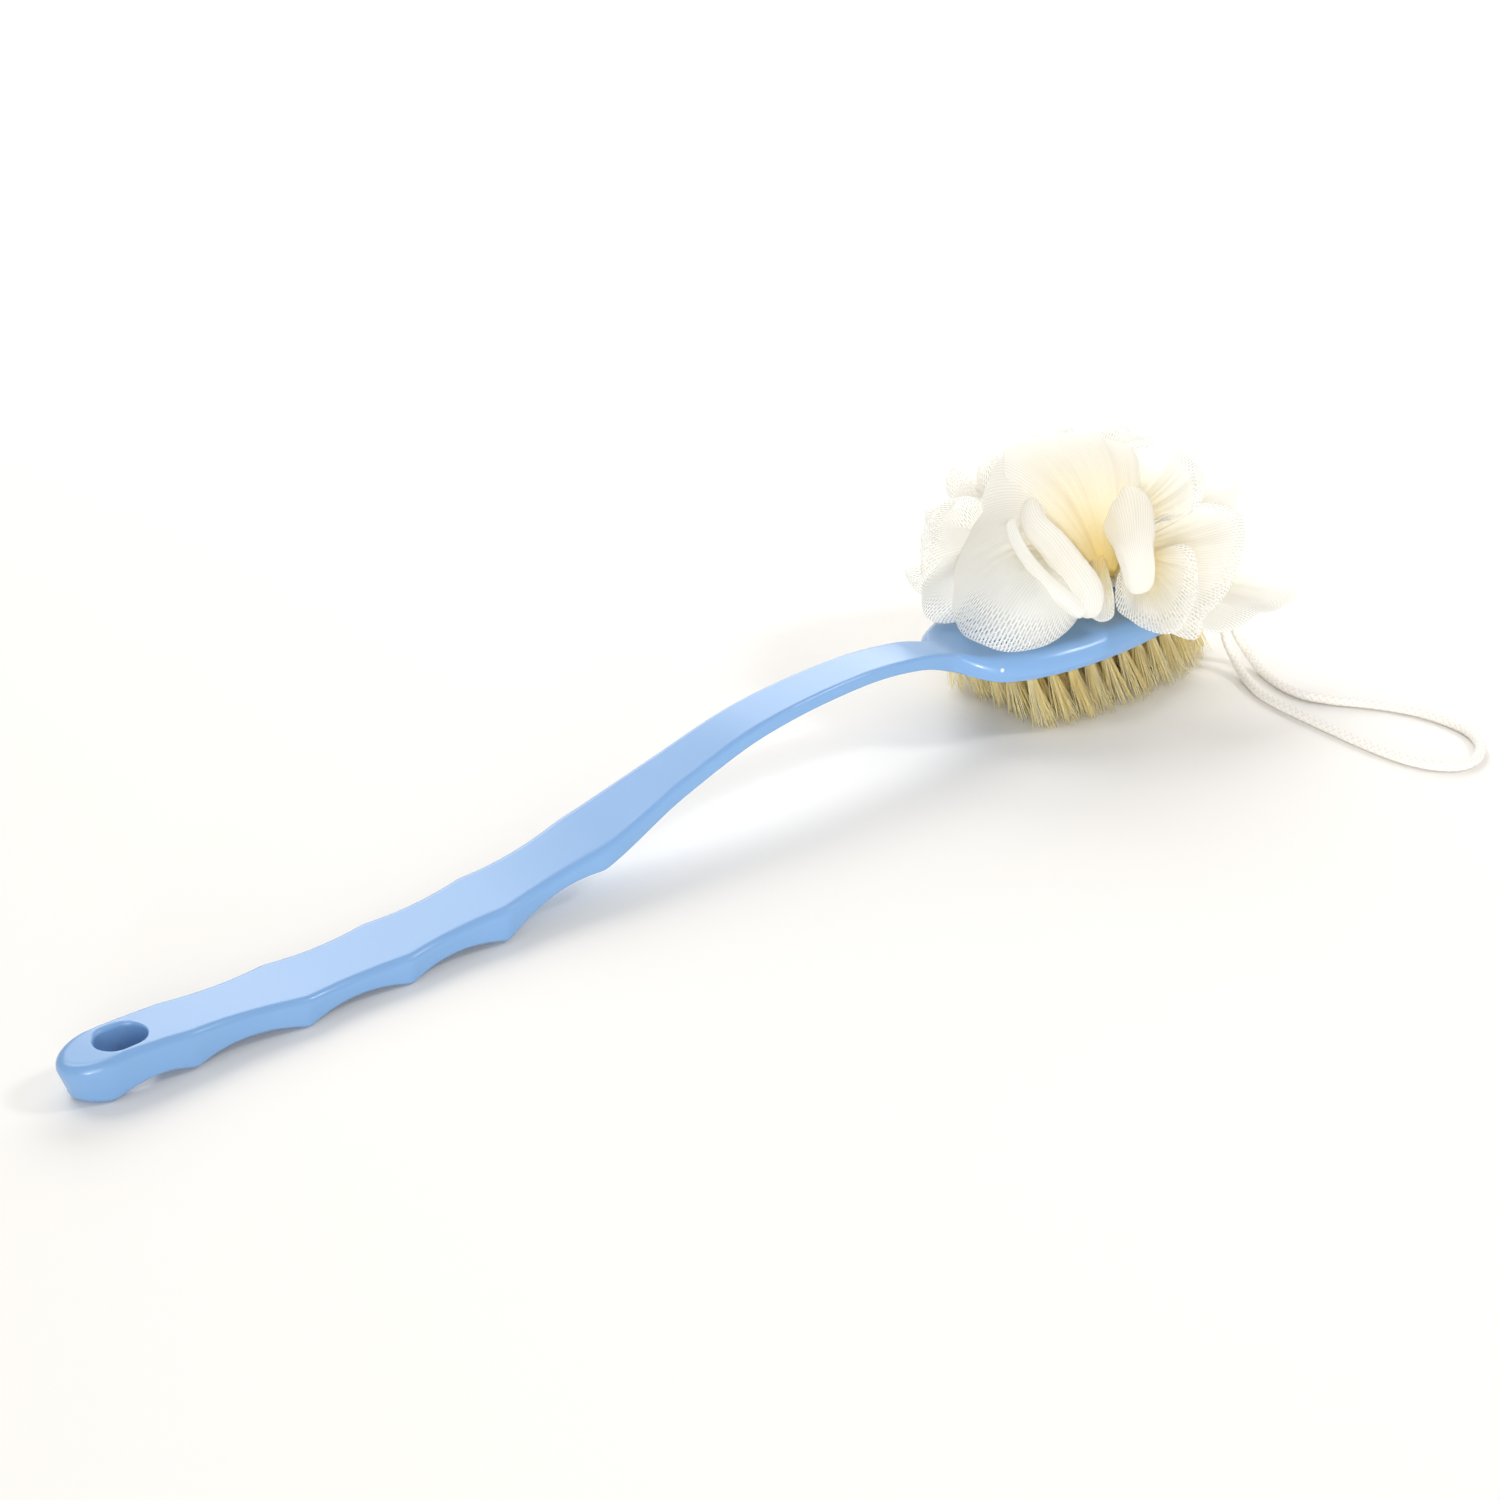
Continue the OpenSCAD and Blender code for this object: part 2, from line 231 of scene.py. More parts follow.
@dataclass
class Shell:
    """Points in millimetres and faces, with a UV pair for each corner and point attributes."""

    points: Array
    faces: Array
    uv: Array | None = None
    values: dict[str, Array] = field(default_factory=dict)

    @staticmethod
    def joined(shells: Sequence["Shell"]) -> "Shell":
        """Several shells as one, their faces renumbered.

        Args:
            shells: shells with the same attributes.

        Returns:
            One shell of all their points and faces.
        """
        starts = np.cumsum([0] + [len(s.points) for s in shells[:-1]])
        return Shell(
            np.concatenate([s.points for s in shells]),
            np.concatenate([s.faces + a for s, a in zip(shells, starts)]),
            None if shells[0].uv is None else np.concatenate([s.uv for s in shells]),
            {k: np.concatenate([s.values[k] for s in shells]) for k in shells[0].values},
        )


def make_object(name: str, shell: Shell, merge: float = 0.0) -> bpy.types.Object:
    """Puts a shell into a smooth-shaded mesh object at the origin.

    A face whose last corner repeats the one before it becomes a three-cornered face.

    Args:
        name: name of the object.
        shell: points in millimetres, faces, UV and attributes.
        merge: distance in millimetres under which points are made one.

    Returns:
        The new object, linked to the scene.
    """
    mesh = bpy.data.meshes.new(name)
    faces, points = shell.faces, shell.points
    mesh.vertices.add(len(points))
    mesh.vertices.foreach_set("co", (points * MM).astype(np.float32).ravel())
    three = faces[:, 2] == faces[:, 3]
    sizes = np.where(three, 3, 4)
    keep = np.ones(faces.shape, bool)
    keep[three, 3] = False
    mesh.loops.add(int(sizes.sum()))
    mesh.loops.foreach_set("vertex_index", faces[keep].astype(np.int32))
    mesh.polygons.add(len(faces))
    mesh.polygons.foreach_set("loop_start", (np.cumsum(sizes) - sizes).astype(np.int32))
    mesh.update(calc_edges=True)
    if shell.uv is not None:
        layer = mesh.uv_layers.new(name="weave")
        layer.uv.foreach_set("vector", shell.uv[keep.ravel()].astype(np.float32).ravel())
    for key, value in shell.values.items():
        attribute = mesh.attributes.new(key, "FLOAT", "POINT")
        attribute.data.foreach_set("value", value.astype(np.float32).ravel())
    obj = bpy.data.objects.new(name, mesh)
    bpy.context.scene.collection.objects.link(obj)
    if merge > 0:
        weld(obj, merge)
    mesh.validate()
    mesh.polygons.foreach_set("use_smooth", np.ones(len(mesh.polygons), bool))
    mesh.update()
    return obj


def weld(obj: bpy.types.Object, distance: float) -> None:
    """Makes points nearer than distance in millimetres one, and turns all faces outwards.

    Args:
        obj: the mesh object to weld.
        distance: in millimetres.
    """
    work = bmesh.new()
    work.from_mesh(obj.data)
    bmesh.ops.remove_doubles(work, verts=work.verts, dist=distance * MM)
    bmesh.ops.dissolve_degenerate(work, edges=work.edges, dist=distance * MM * 0.1)
    bmesh.ops.recalc_face_normals(work, faces=work.faces)
    work.to_mesh(obj.data)
    work.free()


def combine(obj: bpy.types.Object, other: bpy.types.Object, how: Join) -> None:
    """Cuts or adds one closed mesh to another, keeps the result and removes the tool.

    Args:
        obj: the mesh that stays.
        other: the mesh that is taken away or added, which is removed.
        how: whether it is taken away or added.
    """
    step = obj.modifiers.new(how.name.lower(), "BOOLEAN")
    step.operation, step.object, step.solver = how.value, other, "EXACT"
    shaped = obj.evaluated_get(bpy.context.evaluated_depsgraph_get())
    result = bpy.data.meshes.new_from_object(shaped)
    obj.modifiers.clear()
    old = obj.data
    obj.data = result
    bpy.data.meshes.remove(old)
    bpy.data.objects.remove(other)


def swept_tube(
    path: Array,
    radius: Callable[[Array, Array], Array],
    sides: int,
    closed: bool = False,
    uv_scale: tuple[float, float] = (1.0, 1.0),
) -> Shell:
    """Tube about a path: point = path + r(a, run) (cos a across + sin a other).

    Args:
        path: centres of the rings.
        radius: the radius, as a function of the angle round and the distance along.
        sides: points round a ring.
        closed: whether the path joins itself; an open tube ends in small domes.
        uv_scale: UV units for a turn round and for a millimetre along.

    Returns:
        A closed shell with UV running round and along.
    """
    _, across, other = carried_frames(path, closed)
    steps = np.linalg.norm(np.diff(path, axis=0), axis=1)
    run = np.concatenate([[0.0], np.cumsum(steps)])
    angle = np.linspace(0.0, TAU, sides + 1)
    a, d = angle[None, :], run[:, None]
    ends = np.ones(len(path))
    if not closed:
        ends[[0, -1]] = 1e-4
        ends[[1, -2]] = 0.8
    r = radius(a, d) * ends[:, None]
    out = np.cos(a)[..., None] * across[:, None] + np.sin(a)[..., None] * other[:, None]
    grid = path[:, None] + r[..., None] * out
    faces = grid_faces(len(path), sides + 1, wrap_rows=closed)
    plane = np.stack(np.broadcast_arrays(a / TAU * uv_scale[0], d * uv_scale[1]), axis=-1)
    return Shell(grid.reshape(-1, 3), faces, corner_values(faces, plane.reshape(-1, 2)))


# ---------------------------------------------------------------- finishes


def linear(code: str) -> tuple[float, float, float, float]:
    """An sRGB hex colour such as "f2e6c8" as linear red, green, blue and 1.

    Args:
        code: six hex digits.

    Returns:
        Linear red, green and blue, and an alpha of 1.
    """
    channel = np.array([int(code[i : i + 2], 16) / 255.0 for i in (0, 2, 4)])
    low, high = channel / 12.92, ((channel + 0.055) / 1.055) ** 2.4
    return (*np.where(channel <= 0.04045, low, high).tolist(), 1.0)


def add_node(
    tree: bpy.types.NodeTree, kind: str, inputs: dict[str | int, object] | None = None, **settings: object
) -> bpy.types.Node:
    """Adds one node with its settings, values and links.

    Args:
        tree: the node tree to add to.
        kind: the node's type name without "ShaderNode".
        inputs: socket name or number to a value, or to the socket that feeds it, or to a
            node that feeds it from its first output.
        settings: properties of the node.

    Returns:
        The new node.
    """
    node = tree.nodes.new("ShaderNode" + kind)
    for key, value in settings.items():
        setattr(node, key, value)
    for key, value in (inputs or {}).items():
        socket = node.inputs[key]
        if isinstance(value, bpy.types.Node):
            value = value.outputs[0]
        if isinstance(value, bpy.types.NodeSocket):
            tree.links.new(value, socket)
        else:
            socket.default_value = value
    return node


def new_material(name: str) -> tuple[bpy.types.Material, bpy.types.NodeTree, bpy.types.Node]:
    """An empty node material with its output node.

    Args:
        name: name of the material.

    Returns:
        The material, its node tree and its output node.
    """
    material = bpy.data.materials.new(name)
    material.use_nodes = True
    tree = material.node_tree
    tree.nodes.clear()
    return material, tree, add_node(tree, "OutputMaterial")


@dataclass(frozen=True)
class MouldedPolypropylene:
    """Injection-moulded polypropylene: one clear light blue with a soft gloss.

    The eye gets a broad sheen on the top, a faint mottle of the melt, and a skin that is very
    slightly uneven, as a polished tool leaves it. A small raised round mark shows where the melt
    came in; its pale colour is a painted highlight, where the mark catches the light.
    """

    colour: str = "7ea6d3"
    flow_colour: str = "7aa3d1"
    # Painted highlight: the pale colour of the raised gate mark, where it catches the light
    mark_highlight_colour: str = "e8f1fb"
    roughness: float = 0.23
    ior: float = 1.49
    skin_mm: float = 1.4
    flow_long_mm: float = 1000.0 / 9.0
    flow_wide_mm: float = 1000.0 / 60.0
    mark_at: tuple[float, float, float] = (90.0, -15.6, 24.0)
    mark_radius: float = 0.8

    def build(self) -> bpy.types.Material:
        """Builds the node material.

        Returns:
            The new material.
        """
        material, tree, out = new_material("polypropylene_moulded_light_blue")
        place = add_node(tree, "TexCoord").outputs["Object"]
        # The melt runs along the handle, so its mottle is nearly seven times longer than wide
        across = 1.0 / (self.flow_wide_mm * MM)
        scale = (1.0 / (self.flow_long_mm * MM), across, across)
        stretched = add_node(tree, "Mapping", {"Vector": place, "Scale": scale})
        flow = add_node(tree, "TexNoise", {"Vector": stretched, "Scale": 1.0, "Detail": 1.0})
        body = add_node(
            tree,
            "Mix",
            {"Factor": flow.outputs["Fac"], "A": linear(self.colour), "B": linear(self.flow_colour)},
            data_type="RGBA",
            clamp_factor=False,
        )
        centre = tuple(c * MM for c in self.mark_at)
        gap = add_node(tree, "VectorMath", {0: place, 1: centre}, operation="DISTANCE")
        mark = add_node(
            tree,
            "MapRange",
            {
                "Value": gap.outputs["Value"],
                "From Min": self.mark_radius * MM * 1.15,
                "From Max": self.mark_radius * MM * 0.75,
                "To Min": 0.0,
                "To Max": 1.0,
            },
        )
        # The raised gate mark is painted pale, a painted highlight
        colour = add_node(
            tree,
            "Mix",
            {"Factor": mark, "A": body.outputs["Result"], "B": linear(self.mark_highlight_colour)},
            data_type="RGBA",
        )
        skin = add_node(
            tree, "TexNoise", {"Vector": place, "Scale": 1.0 / (self.skin_mm * MM), "Detail": 1.5}
        )
        height = add_node(tree, "Math", {0: skin, 1: mark}, operation="ADD")
        bump = add_node(tree, "Bump", {"Height": height, "Strength": 0.06, "Distance": 0.0003})
        rough = add_node(
            tree,
            "MapRange",
            {
                "Value": skin.outputs["Fac"],
                "To Min": self.roughness - 0.03,
                "To Max": self.roughness + 0.04,
            },
        )
        shader = add_node(
            tree,
            "BsdfPrincipled",
            {
                "Base Color": colour.outputs["Result"],
                "Roughness": rough.outputs[0],
                "IOR": self.ior,
                "Normal": bump,
            },
        )
        tree.links.new(shader.outputs[0], out.inputs["Surface"])
        return material


@dataclass(frozen=True)
class CrimpedBristle:
    """Extruded and crimped polypropylene filament, cream and a little glassy.

    The eye gets bright streaks along the filaments, no two quite the same cream, and a deeper
    yellow painted near the roots of the inner tufts as painted shade between the tufts, standing
    in for light that has passed through many of them.
    """

    pale: str = "fffbdc"
    deep: str = "ffec98"
    # Painted shade: the deep yellow painted near the roots of the inner tufts, where the gaps between tufts
    # lie in shade
    root: str = "f6d04a"
    ior: float = 1.49
    roughness: float = 0.38
    through: float = 0.3

    def build(self) -> bpy.types.Material:
        """Builds the node material.

        Returns:
            The new material.
        """
        material, tree, out = new_material("polypropylene_crimped_bristle")
        tone = add_node(tree, "Attribute", attribute_name="tone").outputs["Fac"]
        down = add_node(tree, "Attribute", attribute_name="down").outputs["Fac"]
        single = add_node(
            tree,
            "Mix",
            {"Factor": tone, "A": linear(self.pale), "B": linear(self.deep)},
            data_type="RGBA",
        )
        # Painted shade: the root yellow is painted in towards the roots, and only on tufts away from the
        # rims
        inner = add_node(tree, "Attribute", attribute_name="inner").outputs["Fac"]
        root_shade = add_node(
            tree, "MapRange", {"Value": down, "From Max": 0.9, "To Min": 0.9, "To Max": 0.15}
        )
        shade = add_node(tree, "Math", {0: root_shade, 1: inner}, operation="MULTIPLY")
        colour = add_node(
            tree,
            "Mix",
            {"Factor": shade, "A": single.outputs["Result"], "B": linear(self.root)},
            data_type="RGBA",
        ).outputs["Result"]
        gloss = add_node(
            tree, "BsdfPrincipled", {"Base Color": colour, "Roughness": self.roughness, "IOR": self.ior}
        )
        glow = add_node(tree, "BsdfTranslucent", {"Color": colour})
        both = add_node(tree, "MixShader", {0: self.through, 1: gloss, 2: glow})
        tree.links.new(both.outputs[0], out.inputs["Surface"])
        return material


@dataclass(frozen=True)
class DrawnSteel:
    """Flat galvanised steel wire, drawn through a die.

    The eye gets a dull grey glint, broken by fine lines along the wire, which runs across the row.
    """

    colour: str = "b9bcc0"
    line_wide_mm: float = 1.0 / 9.0
    line_long_mm: float = 10.0 / 3.0

    def build(self) -> bpy.types.Material:
        """Builds the node material.

        Returns:
            The new material.
        """
        material, tree, out = new_material("steel_wire_galvanised")
        place = add_node(tree, "TexCoord").outputs["Object"]
        across = 1.0 / (self.line_wide_mm * MM)
        scale = (across, 1.0 / (self.line_long_mm * MM), across)
        lines = add_node(tree, "Mapping", {"Vector": place, "Scale": scale})
        drawn = add_node(tree, "TexNoise", {"Vector": lines, "Scale": 1.0, "Detail": 2.0})
        rough = add_node(tree, "MapRange", {"Value": drawn.outputs["Fac"], "To Min": 0.3, "To Max": 0.5})
        shader = add_node(
            tree,
            "BsdfPrincipled",
            {"Base Color": linear(self.colour), "Metallic": 1.0, "Roughness": rough},
        )
        tree.links.new(shader.outputs[0], out.inputs["Surface"])
        return material


@dataclass(frozen=True)
class BraidedPolyester:
    """White polyester yarn braided round itself.

    The eye gets matt white strands, with painted shade in the grooves between them, and fine fibres along
    each.
    The fibres are 90 to a turn, a tenth of a millimetre each, and 8 mm long.
    """

    colour: str = "f4f0ea"
    # Painted shade: the darker colour painted into the grooves between the strands
    groove_shade: str = "d9d2c6"
    fibre_turns: float = 90.0
    fibre_rows: float = 1.2
    roughness: float = 0.72
    sheen: float = 0.25

    def build(self) -> bpy.types.Material:
        """Builds the node material.

        Returns:
            The new material.
        """
        material, tree, out = new_material("polyester_braided_white")
        uv = add_node(tree, "UVMap", uv_map="weave").outputs[0]
        relief = add_node(tree, "Attribute", attribute_name="relief").outputs["Fac"]
        fibres = add_node(tree, "Mapping", {"Vector": uv, "Scale": (self.fibre_turns, self.fibre_rows, 1.0)})
        grain = add_node(tree, "TexNoise", {"Vector": fibres, "Scale": 1.0, "Detail": 2.0})
        # Painted shade: the grooves, low in the relief, take the darker colour
        colour = add_node(
            tree,
            "Mix",
            {"Factor": relief, "A": linear(self.groove_shade), "B": linear(self.colour)},
            data_type="RGBA",
        )
        bump = add_node(
            tree, "Bump", {"Height": grain.outputs["Fac"], "Strength": 0.35, "Distance": 0.0001}
        )
        shader = add_node(
            tree,
            "BsdfPrincipled",
            {
                "Base Color": colour.outputs["Result"],
                "Roughness": self.roughness,
                "Sheen Weight": self.sheen,
                "Normal": bump,
            },
        )
        tree.links.new(shader.outputs[0], out.inputs["Surface"])
        return material


@dataclass(frozen=True)
class KnittedNetting:
    """Raschel-knitted polyethylene net: milky strands round long slits.

    The eye gets a white veil that lets light through, with fine pillars of stitches running from
    the core to the rim, slits that open where the tube is stretched round its rim, and a cream
    painted towards the core as painted shade, where many layers lie over one another in shade;
    the net is also made denser there. U counts pillars, V counts stitches.
    """

    veil: str = "fffefa"
    # Painted shade: the cream painted towards the core of each lobe
    depth_shade_colour: str = "ffe88c"
    through: float = 0.5
    roughness: float = 0.42
    ior: float = 1.5
    cover: float = 0.8
    deep_cover: float = 0.95
    slit_wide: float = 0.27
    slit_tall: float = 0.42
    slit_outside: float = 1.25
    slit_inside: float = 0.7

    def build(self) -> bpy.types.Material:
        """Builds the node material.

        Returns:
            The new material.
        """
        material, tree, out = new_material("polyethylene_knitted_net")
        uv = add_node(tree, "UVMap", uv_map="weave").outputs[0]
        split = add_node(tree, "SeparateXYZ", {0: uv})
        open_cell = add_node(tree, "Attribute", attribute_name="open").outputs["Fac"]
        # The deep value paints the shade towards the core, and also makes the net denser there
        deep = add_node(tree, "Attribute", attribute_name="deep").outputs["Fac"]
        u, v = split.outputs[0], split.outputs[1]
        # Each pillar stands half a stitch above the one before it
        pillar = add_node(tree, "Math", {0: u}, operation="FLOOR")
        half = add_node(tree, "Math", {0: pillar, 1: 0.5}, operation="MULTIPLY")
        shifted = add_node(tree, "Math", {0: v, 1: half}, operation="ADD")
        # A slit is an oval about the middle of its cell: the squares across and along add to 1
        squares = []
        for cells, size in ((u, self.slit_wide), (shifted, self.slit_tall)):
            part = add_node(tree, "Math", {0: cells}, operation="FRACT")
            offset = add_node(tree, "Math", {0: part, 1: 0.5}, operation="SUBTRACT")
            share = add_node(tree, "Math", {0: offset, 1: size}, operation="DIVIDE")
            length = add_node(tree, "Math", {0: share}, operation="ABSOLUTE")
            squares.append(add_node(tree, "Math", {0: length, 1: 2.0}, operation="POWER"))
        ring = add_node(tree, "Math", {0: squares[0], 1: squares[1]}, operation="ADD")
        hole = add_node(
            tree,
            "MapRange",
            {
                "Value": ring,
                "From Min": self.slit_outside,
                "From Max": self.slit_inside,
                "To Min": 0.0,
                "To Max": 1.0,
            },
            interpolation_type="SMOOTHSTEP",
        )
        slit = add_node(tree, "Math", {0: hole, 1: open_cell}, operation="MULTIPLY")
        turn = add_node(tree, "Math", {0: u, 1: TAU}, operation="MULTIPLY")
        wave = add_node(tree, "Math", {0: turn}, operation="COSINE")
        thin = add_node(
            tree,
            "MapRange",
            {"Value": wave, "From Min": -1.0, "From Max": 1.0, "To Min": -0.04, "To Max": 0.06},
        )
        cover = add_node(tree, "Math", {0: thin, 1: self.cover}, operation="ADD")
        packed = add_node(tree, "Math", {0: deep, 1: self.deep_cover}, operation="MULTIPLY")
        dense = add_node(tree, "Math", {0: cover, 1: packed}, operation="MAXIMUM")
        solid = add_node(tree, "Math", {0: 1.0, 1: slit}, operation="SUBTRACT")
        alpha = add_node(tree, "Math", {0: dense, 1: solid}, operation="MULTIPLY")
        # Painted shade: deeper cream towards the core
        colour = add_node(
            tree,
            "Mix",
            {"Factor": deep, "A": linear(self.veil), "B": linear(self.depth_shade_colour)},
            data_type="RGBA",
        ).outputs["Result"]
        sunk = add_node(tree, "Math", {0: slit, 1: 2.0}, operation="MULTIPLY")
        height = add_node(tree, "Math", {0: wave, 1: sunk}, operation="SUBTRACT")
        bump = add_node(tree, "Bump", {"Height": height, "Strength": 0.18, "Distance": 0.0002})
        strand = add_node(
            tree,
            "BsdfPrincipled",
            {"Base Color": colour, "Roughness": self.roughness, "IOR": self.ior, "Normal": bump},
        )
        glow = add_node(tree, "BsdfTranslucent", {"Color": colour})
        both = add_node(tree, "MixShader", {0: self.through, 1: strand, 2: glow})
        clear = add_node(tree, "BsdfTransparent")
        veil = add_node(tree, "MixShader", {0: alpha, 1: clear, 2: both})
        tree.links.new(veil.outputs[0], out.inputs["Surface"])
        return material


@dataclass(frozen=True)
class PaintedTable:
    """Matt white wall paint, rolled on: the eye gets a plain pale floor, barely uneven."""

    colour: str = "f4f1ec"
    coat_mm: float = 10.0 / 9.0
    roughness: float = 0.75

    def build(self) -> bpy.types.Material:
        """Builds the node material.

        Returns:
            The new material.
        """
        material, tree, out = new_material("paint_matt_white")
        place = add_node(tree, "TexCoord").outputs["Object"]
        coat = add_node(
            tree, "TexNoise", {"Vector": place, "Scale": 1.0 / (self.coat_mm * MM), "Detail": 1.0}
        )
        bump = add_node(tree, "Bump", {"Height": coat, "Strength": 0.02, "Distance": 0.0002})
        shader = add_node(
            tree,
            "BsdfPrincipled",
            {
                "Base Color": linear(self.colour),
                "Roughness": self.roughness,
                "Specular IOR Level": 0.2,
                "Normal": bump,
            },
        )
        tree.links.new(shader.outputs[0], out.inputs["Surface"])
        return material


def dress(
    obj: bpy.types.Object, material: bpy.types.Material, body: Body, slot: Slot, *replaced: str
) -> bpy.types.Object:
    """Gives a piece its material and body, and hides the CAD nodes that it stands for.

    Args:
        obj: the piece.
        material: its finish.
        body: the body that it rides on.
        slot: the material slot that it belongs to; not used.
        replaced: the CAD nodes that it stands for.

    Returns:
        The same piece.
    """
    obj.data.materials.clear()
    obj.data.materials.append(material)
    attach(obj, body.value)
    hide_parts(*replaced)
    LOG.info("%s: %d faces, rides on %s", obj.name, len(obj.data.polygons), body.value)
    return obj


# ---------------------------------------------------------------- studio


@dataclass(frozen=True)
class SoftBox:
    """A soft box that stands off along a direction and faces the origin, in metres and watts."""

    name: str
    towards: tuple[float, float, float]
    away: float
    wide: float
    tall: float
    watts: float


@dataclass
class Studio:
    """Camera, soft light and a plain pale table."""

    eye: tuple[float, float, float] = (-0.3807, -0.4385, 0.3169)
    forward: tuple[float, float, float] = (0.59069, 0.66827, -0.45221)
    lens: float = 57.7
    sensor: float = 36.0
    table_half: float = 6.0
    sky_colour: str = "fefeff"
    sky: float = 0.44
    key: float = 0.85
    key_from: tuple[float, float, float] = (-0.1, 0.8, 1.1)
    key_angle: float = 30.0
    boxes: tuple[SoftBox, ...] = (
        SoftBox("sheen_box", (0.59, 0.67, 0.50), away=1.9, wide=2.0, tall=1.1, watts=22.0),
        SoftBox("fill_box", (-0.62, -0.74, 0.17), away=2.2, wide=1.5, tall=1.5, watts=30.0),
        SoftBox("edge_box", (0.59, -0.45, 0.67), away=2.0, wide=0.3, tall=0.3, watts=8.0),
    )
    spot_from: tuple[float, float, float] = (-0.66, -0.72, 0.10)
    spot_at: tuple[float, float, float] = (0.143, -0.02, 0.022)
    spot_away: float = 2.2
    spot_watts: float = 195.0
    spot_cone: float = 9.0
    spot_blend: float = 0.8
    spot_size: float = 0.25

    def camera(self) -> None:
        """Stands the camera level with the horizon, looking along forward."""
        data = bpy.data.cameras.new("camera")
        data.lens, data.sensor_width, data.sensor_fit = self.lens, self.sensor, "HORIZONTAL"
        data.clip_start, data.clip_end = 0.01, 50.0
        obj = bpy.data.objects.new("camera", data)
        ahead = Vector(self.forward).normalized()
        right = ahead.cross(Vector((0, 0, 1))).normalized()
        up = right.cross(ahead)
        turn = Matrix((right, up, -ahead)).transposed().to_4x4()
        obj.matrix_world = Matrix.Translation(self.eye) @ turn
        bpy.context.scene.collection.objects.link(obj)
        bpy.context.scene.camera = obj

    def table(self) -> None:
        """A level table top at height 0, much larger than the view."""
        h = self.table_half / MM
        points = np.array([[-h, -h, 0], [h, -h, 0], [h, h, 0], [-h, h, 0]], float)
        top = make_object("table_top", Shell(points, np.array([[0, 1, 2, 3]])))
        top.data.materials.append(PaintedTable().build())

    def surroundings(self) -> None:
        """An even white tent all round."""
        world = bpy.data.worlds.new("white_tent")
        world.use_nodes = True
        tree = world.node_tree
        tree.nodes.clear()
        sky = add_node(tree, "Background", {"Color": linear(self.sky_colour), "Strength": self.sky})
        out = add_node(tree, "OutputWorld")
        tree.links.new(sky.outputs[0], out.inputs["Surface"])
        bpy.context.scene.world = world

    def hang(self, light: bpy.types.Light, place: Vector, back: Vector) -> None:
        """Puts a lamp in the scene.

        Args:
            light: the lamp's own settings.
            place: where it stands, in metres.
            back: direction from what it lights back to the lamp.
        """
        lamp = bpy.data.objects.new(light.name, light)
        lamp.location = place
        lamp.rotation_mode = "QUATERNION"
        lamp.rotation_quaternion = (-back).to_track_quat("-Z", "Y")
        bpy.context.scene.collection.objects.link(lamp)

    def lights(self) -> None:
        """A broad soft key from behind, three soft boxes and a spot on the bristles."""
        key = bpy.data.lights.new("key", "SUN")
        key.energy, key.angle = self.key, np.radians(self.key_angle)
        self.hang(key, Vector((0, 0, 0)), Vector(self.key_from))
        for box in self.boxes:
            panel = bpy.data.lights.new(box.name, "AREA")
            panel.shape, panel.size, panel.size_y = "RECTANGLE", box.wide, box.tall
            panel.energy = box.watts
            back = Vector(box.towards).normalized()
            self.hang(panel, back * box.away, back)
        spot = bpy.data.lights.new("brush_spot", "SPOT")
        spot.energy, spot.spot_size = self.spot_watts, np.radians(self.spot_cone)
        spot.spot_blend, spot.shadow_soft_size = self.spot_blend, self.spot_size
        back = Vector(self.spot_from).normalized()
        self.hang(spot, Vector(self.spot_at) + back * self.spot_away, back)

    def build(self) -> None:
        """The whole studio, camera first."""
        self.camera()
        self.table()
        self.surroundings()
        self.lights()
        bpy.context.scene.view_settings.view_transform = "Standard"


# ---------------------------------------------------------------- handle and head


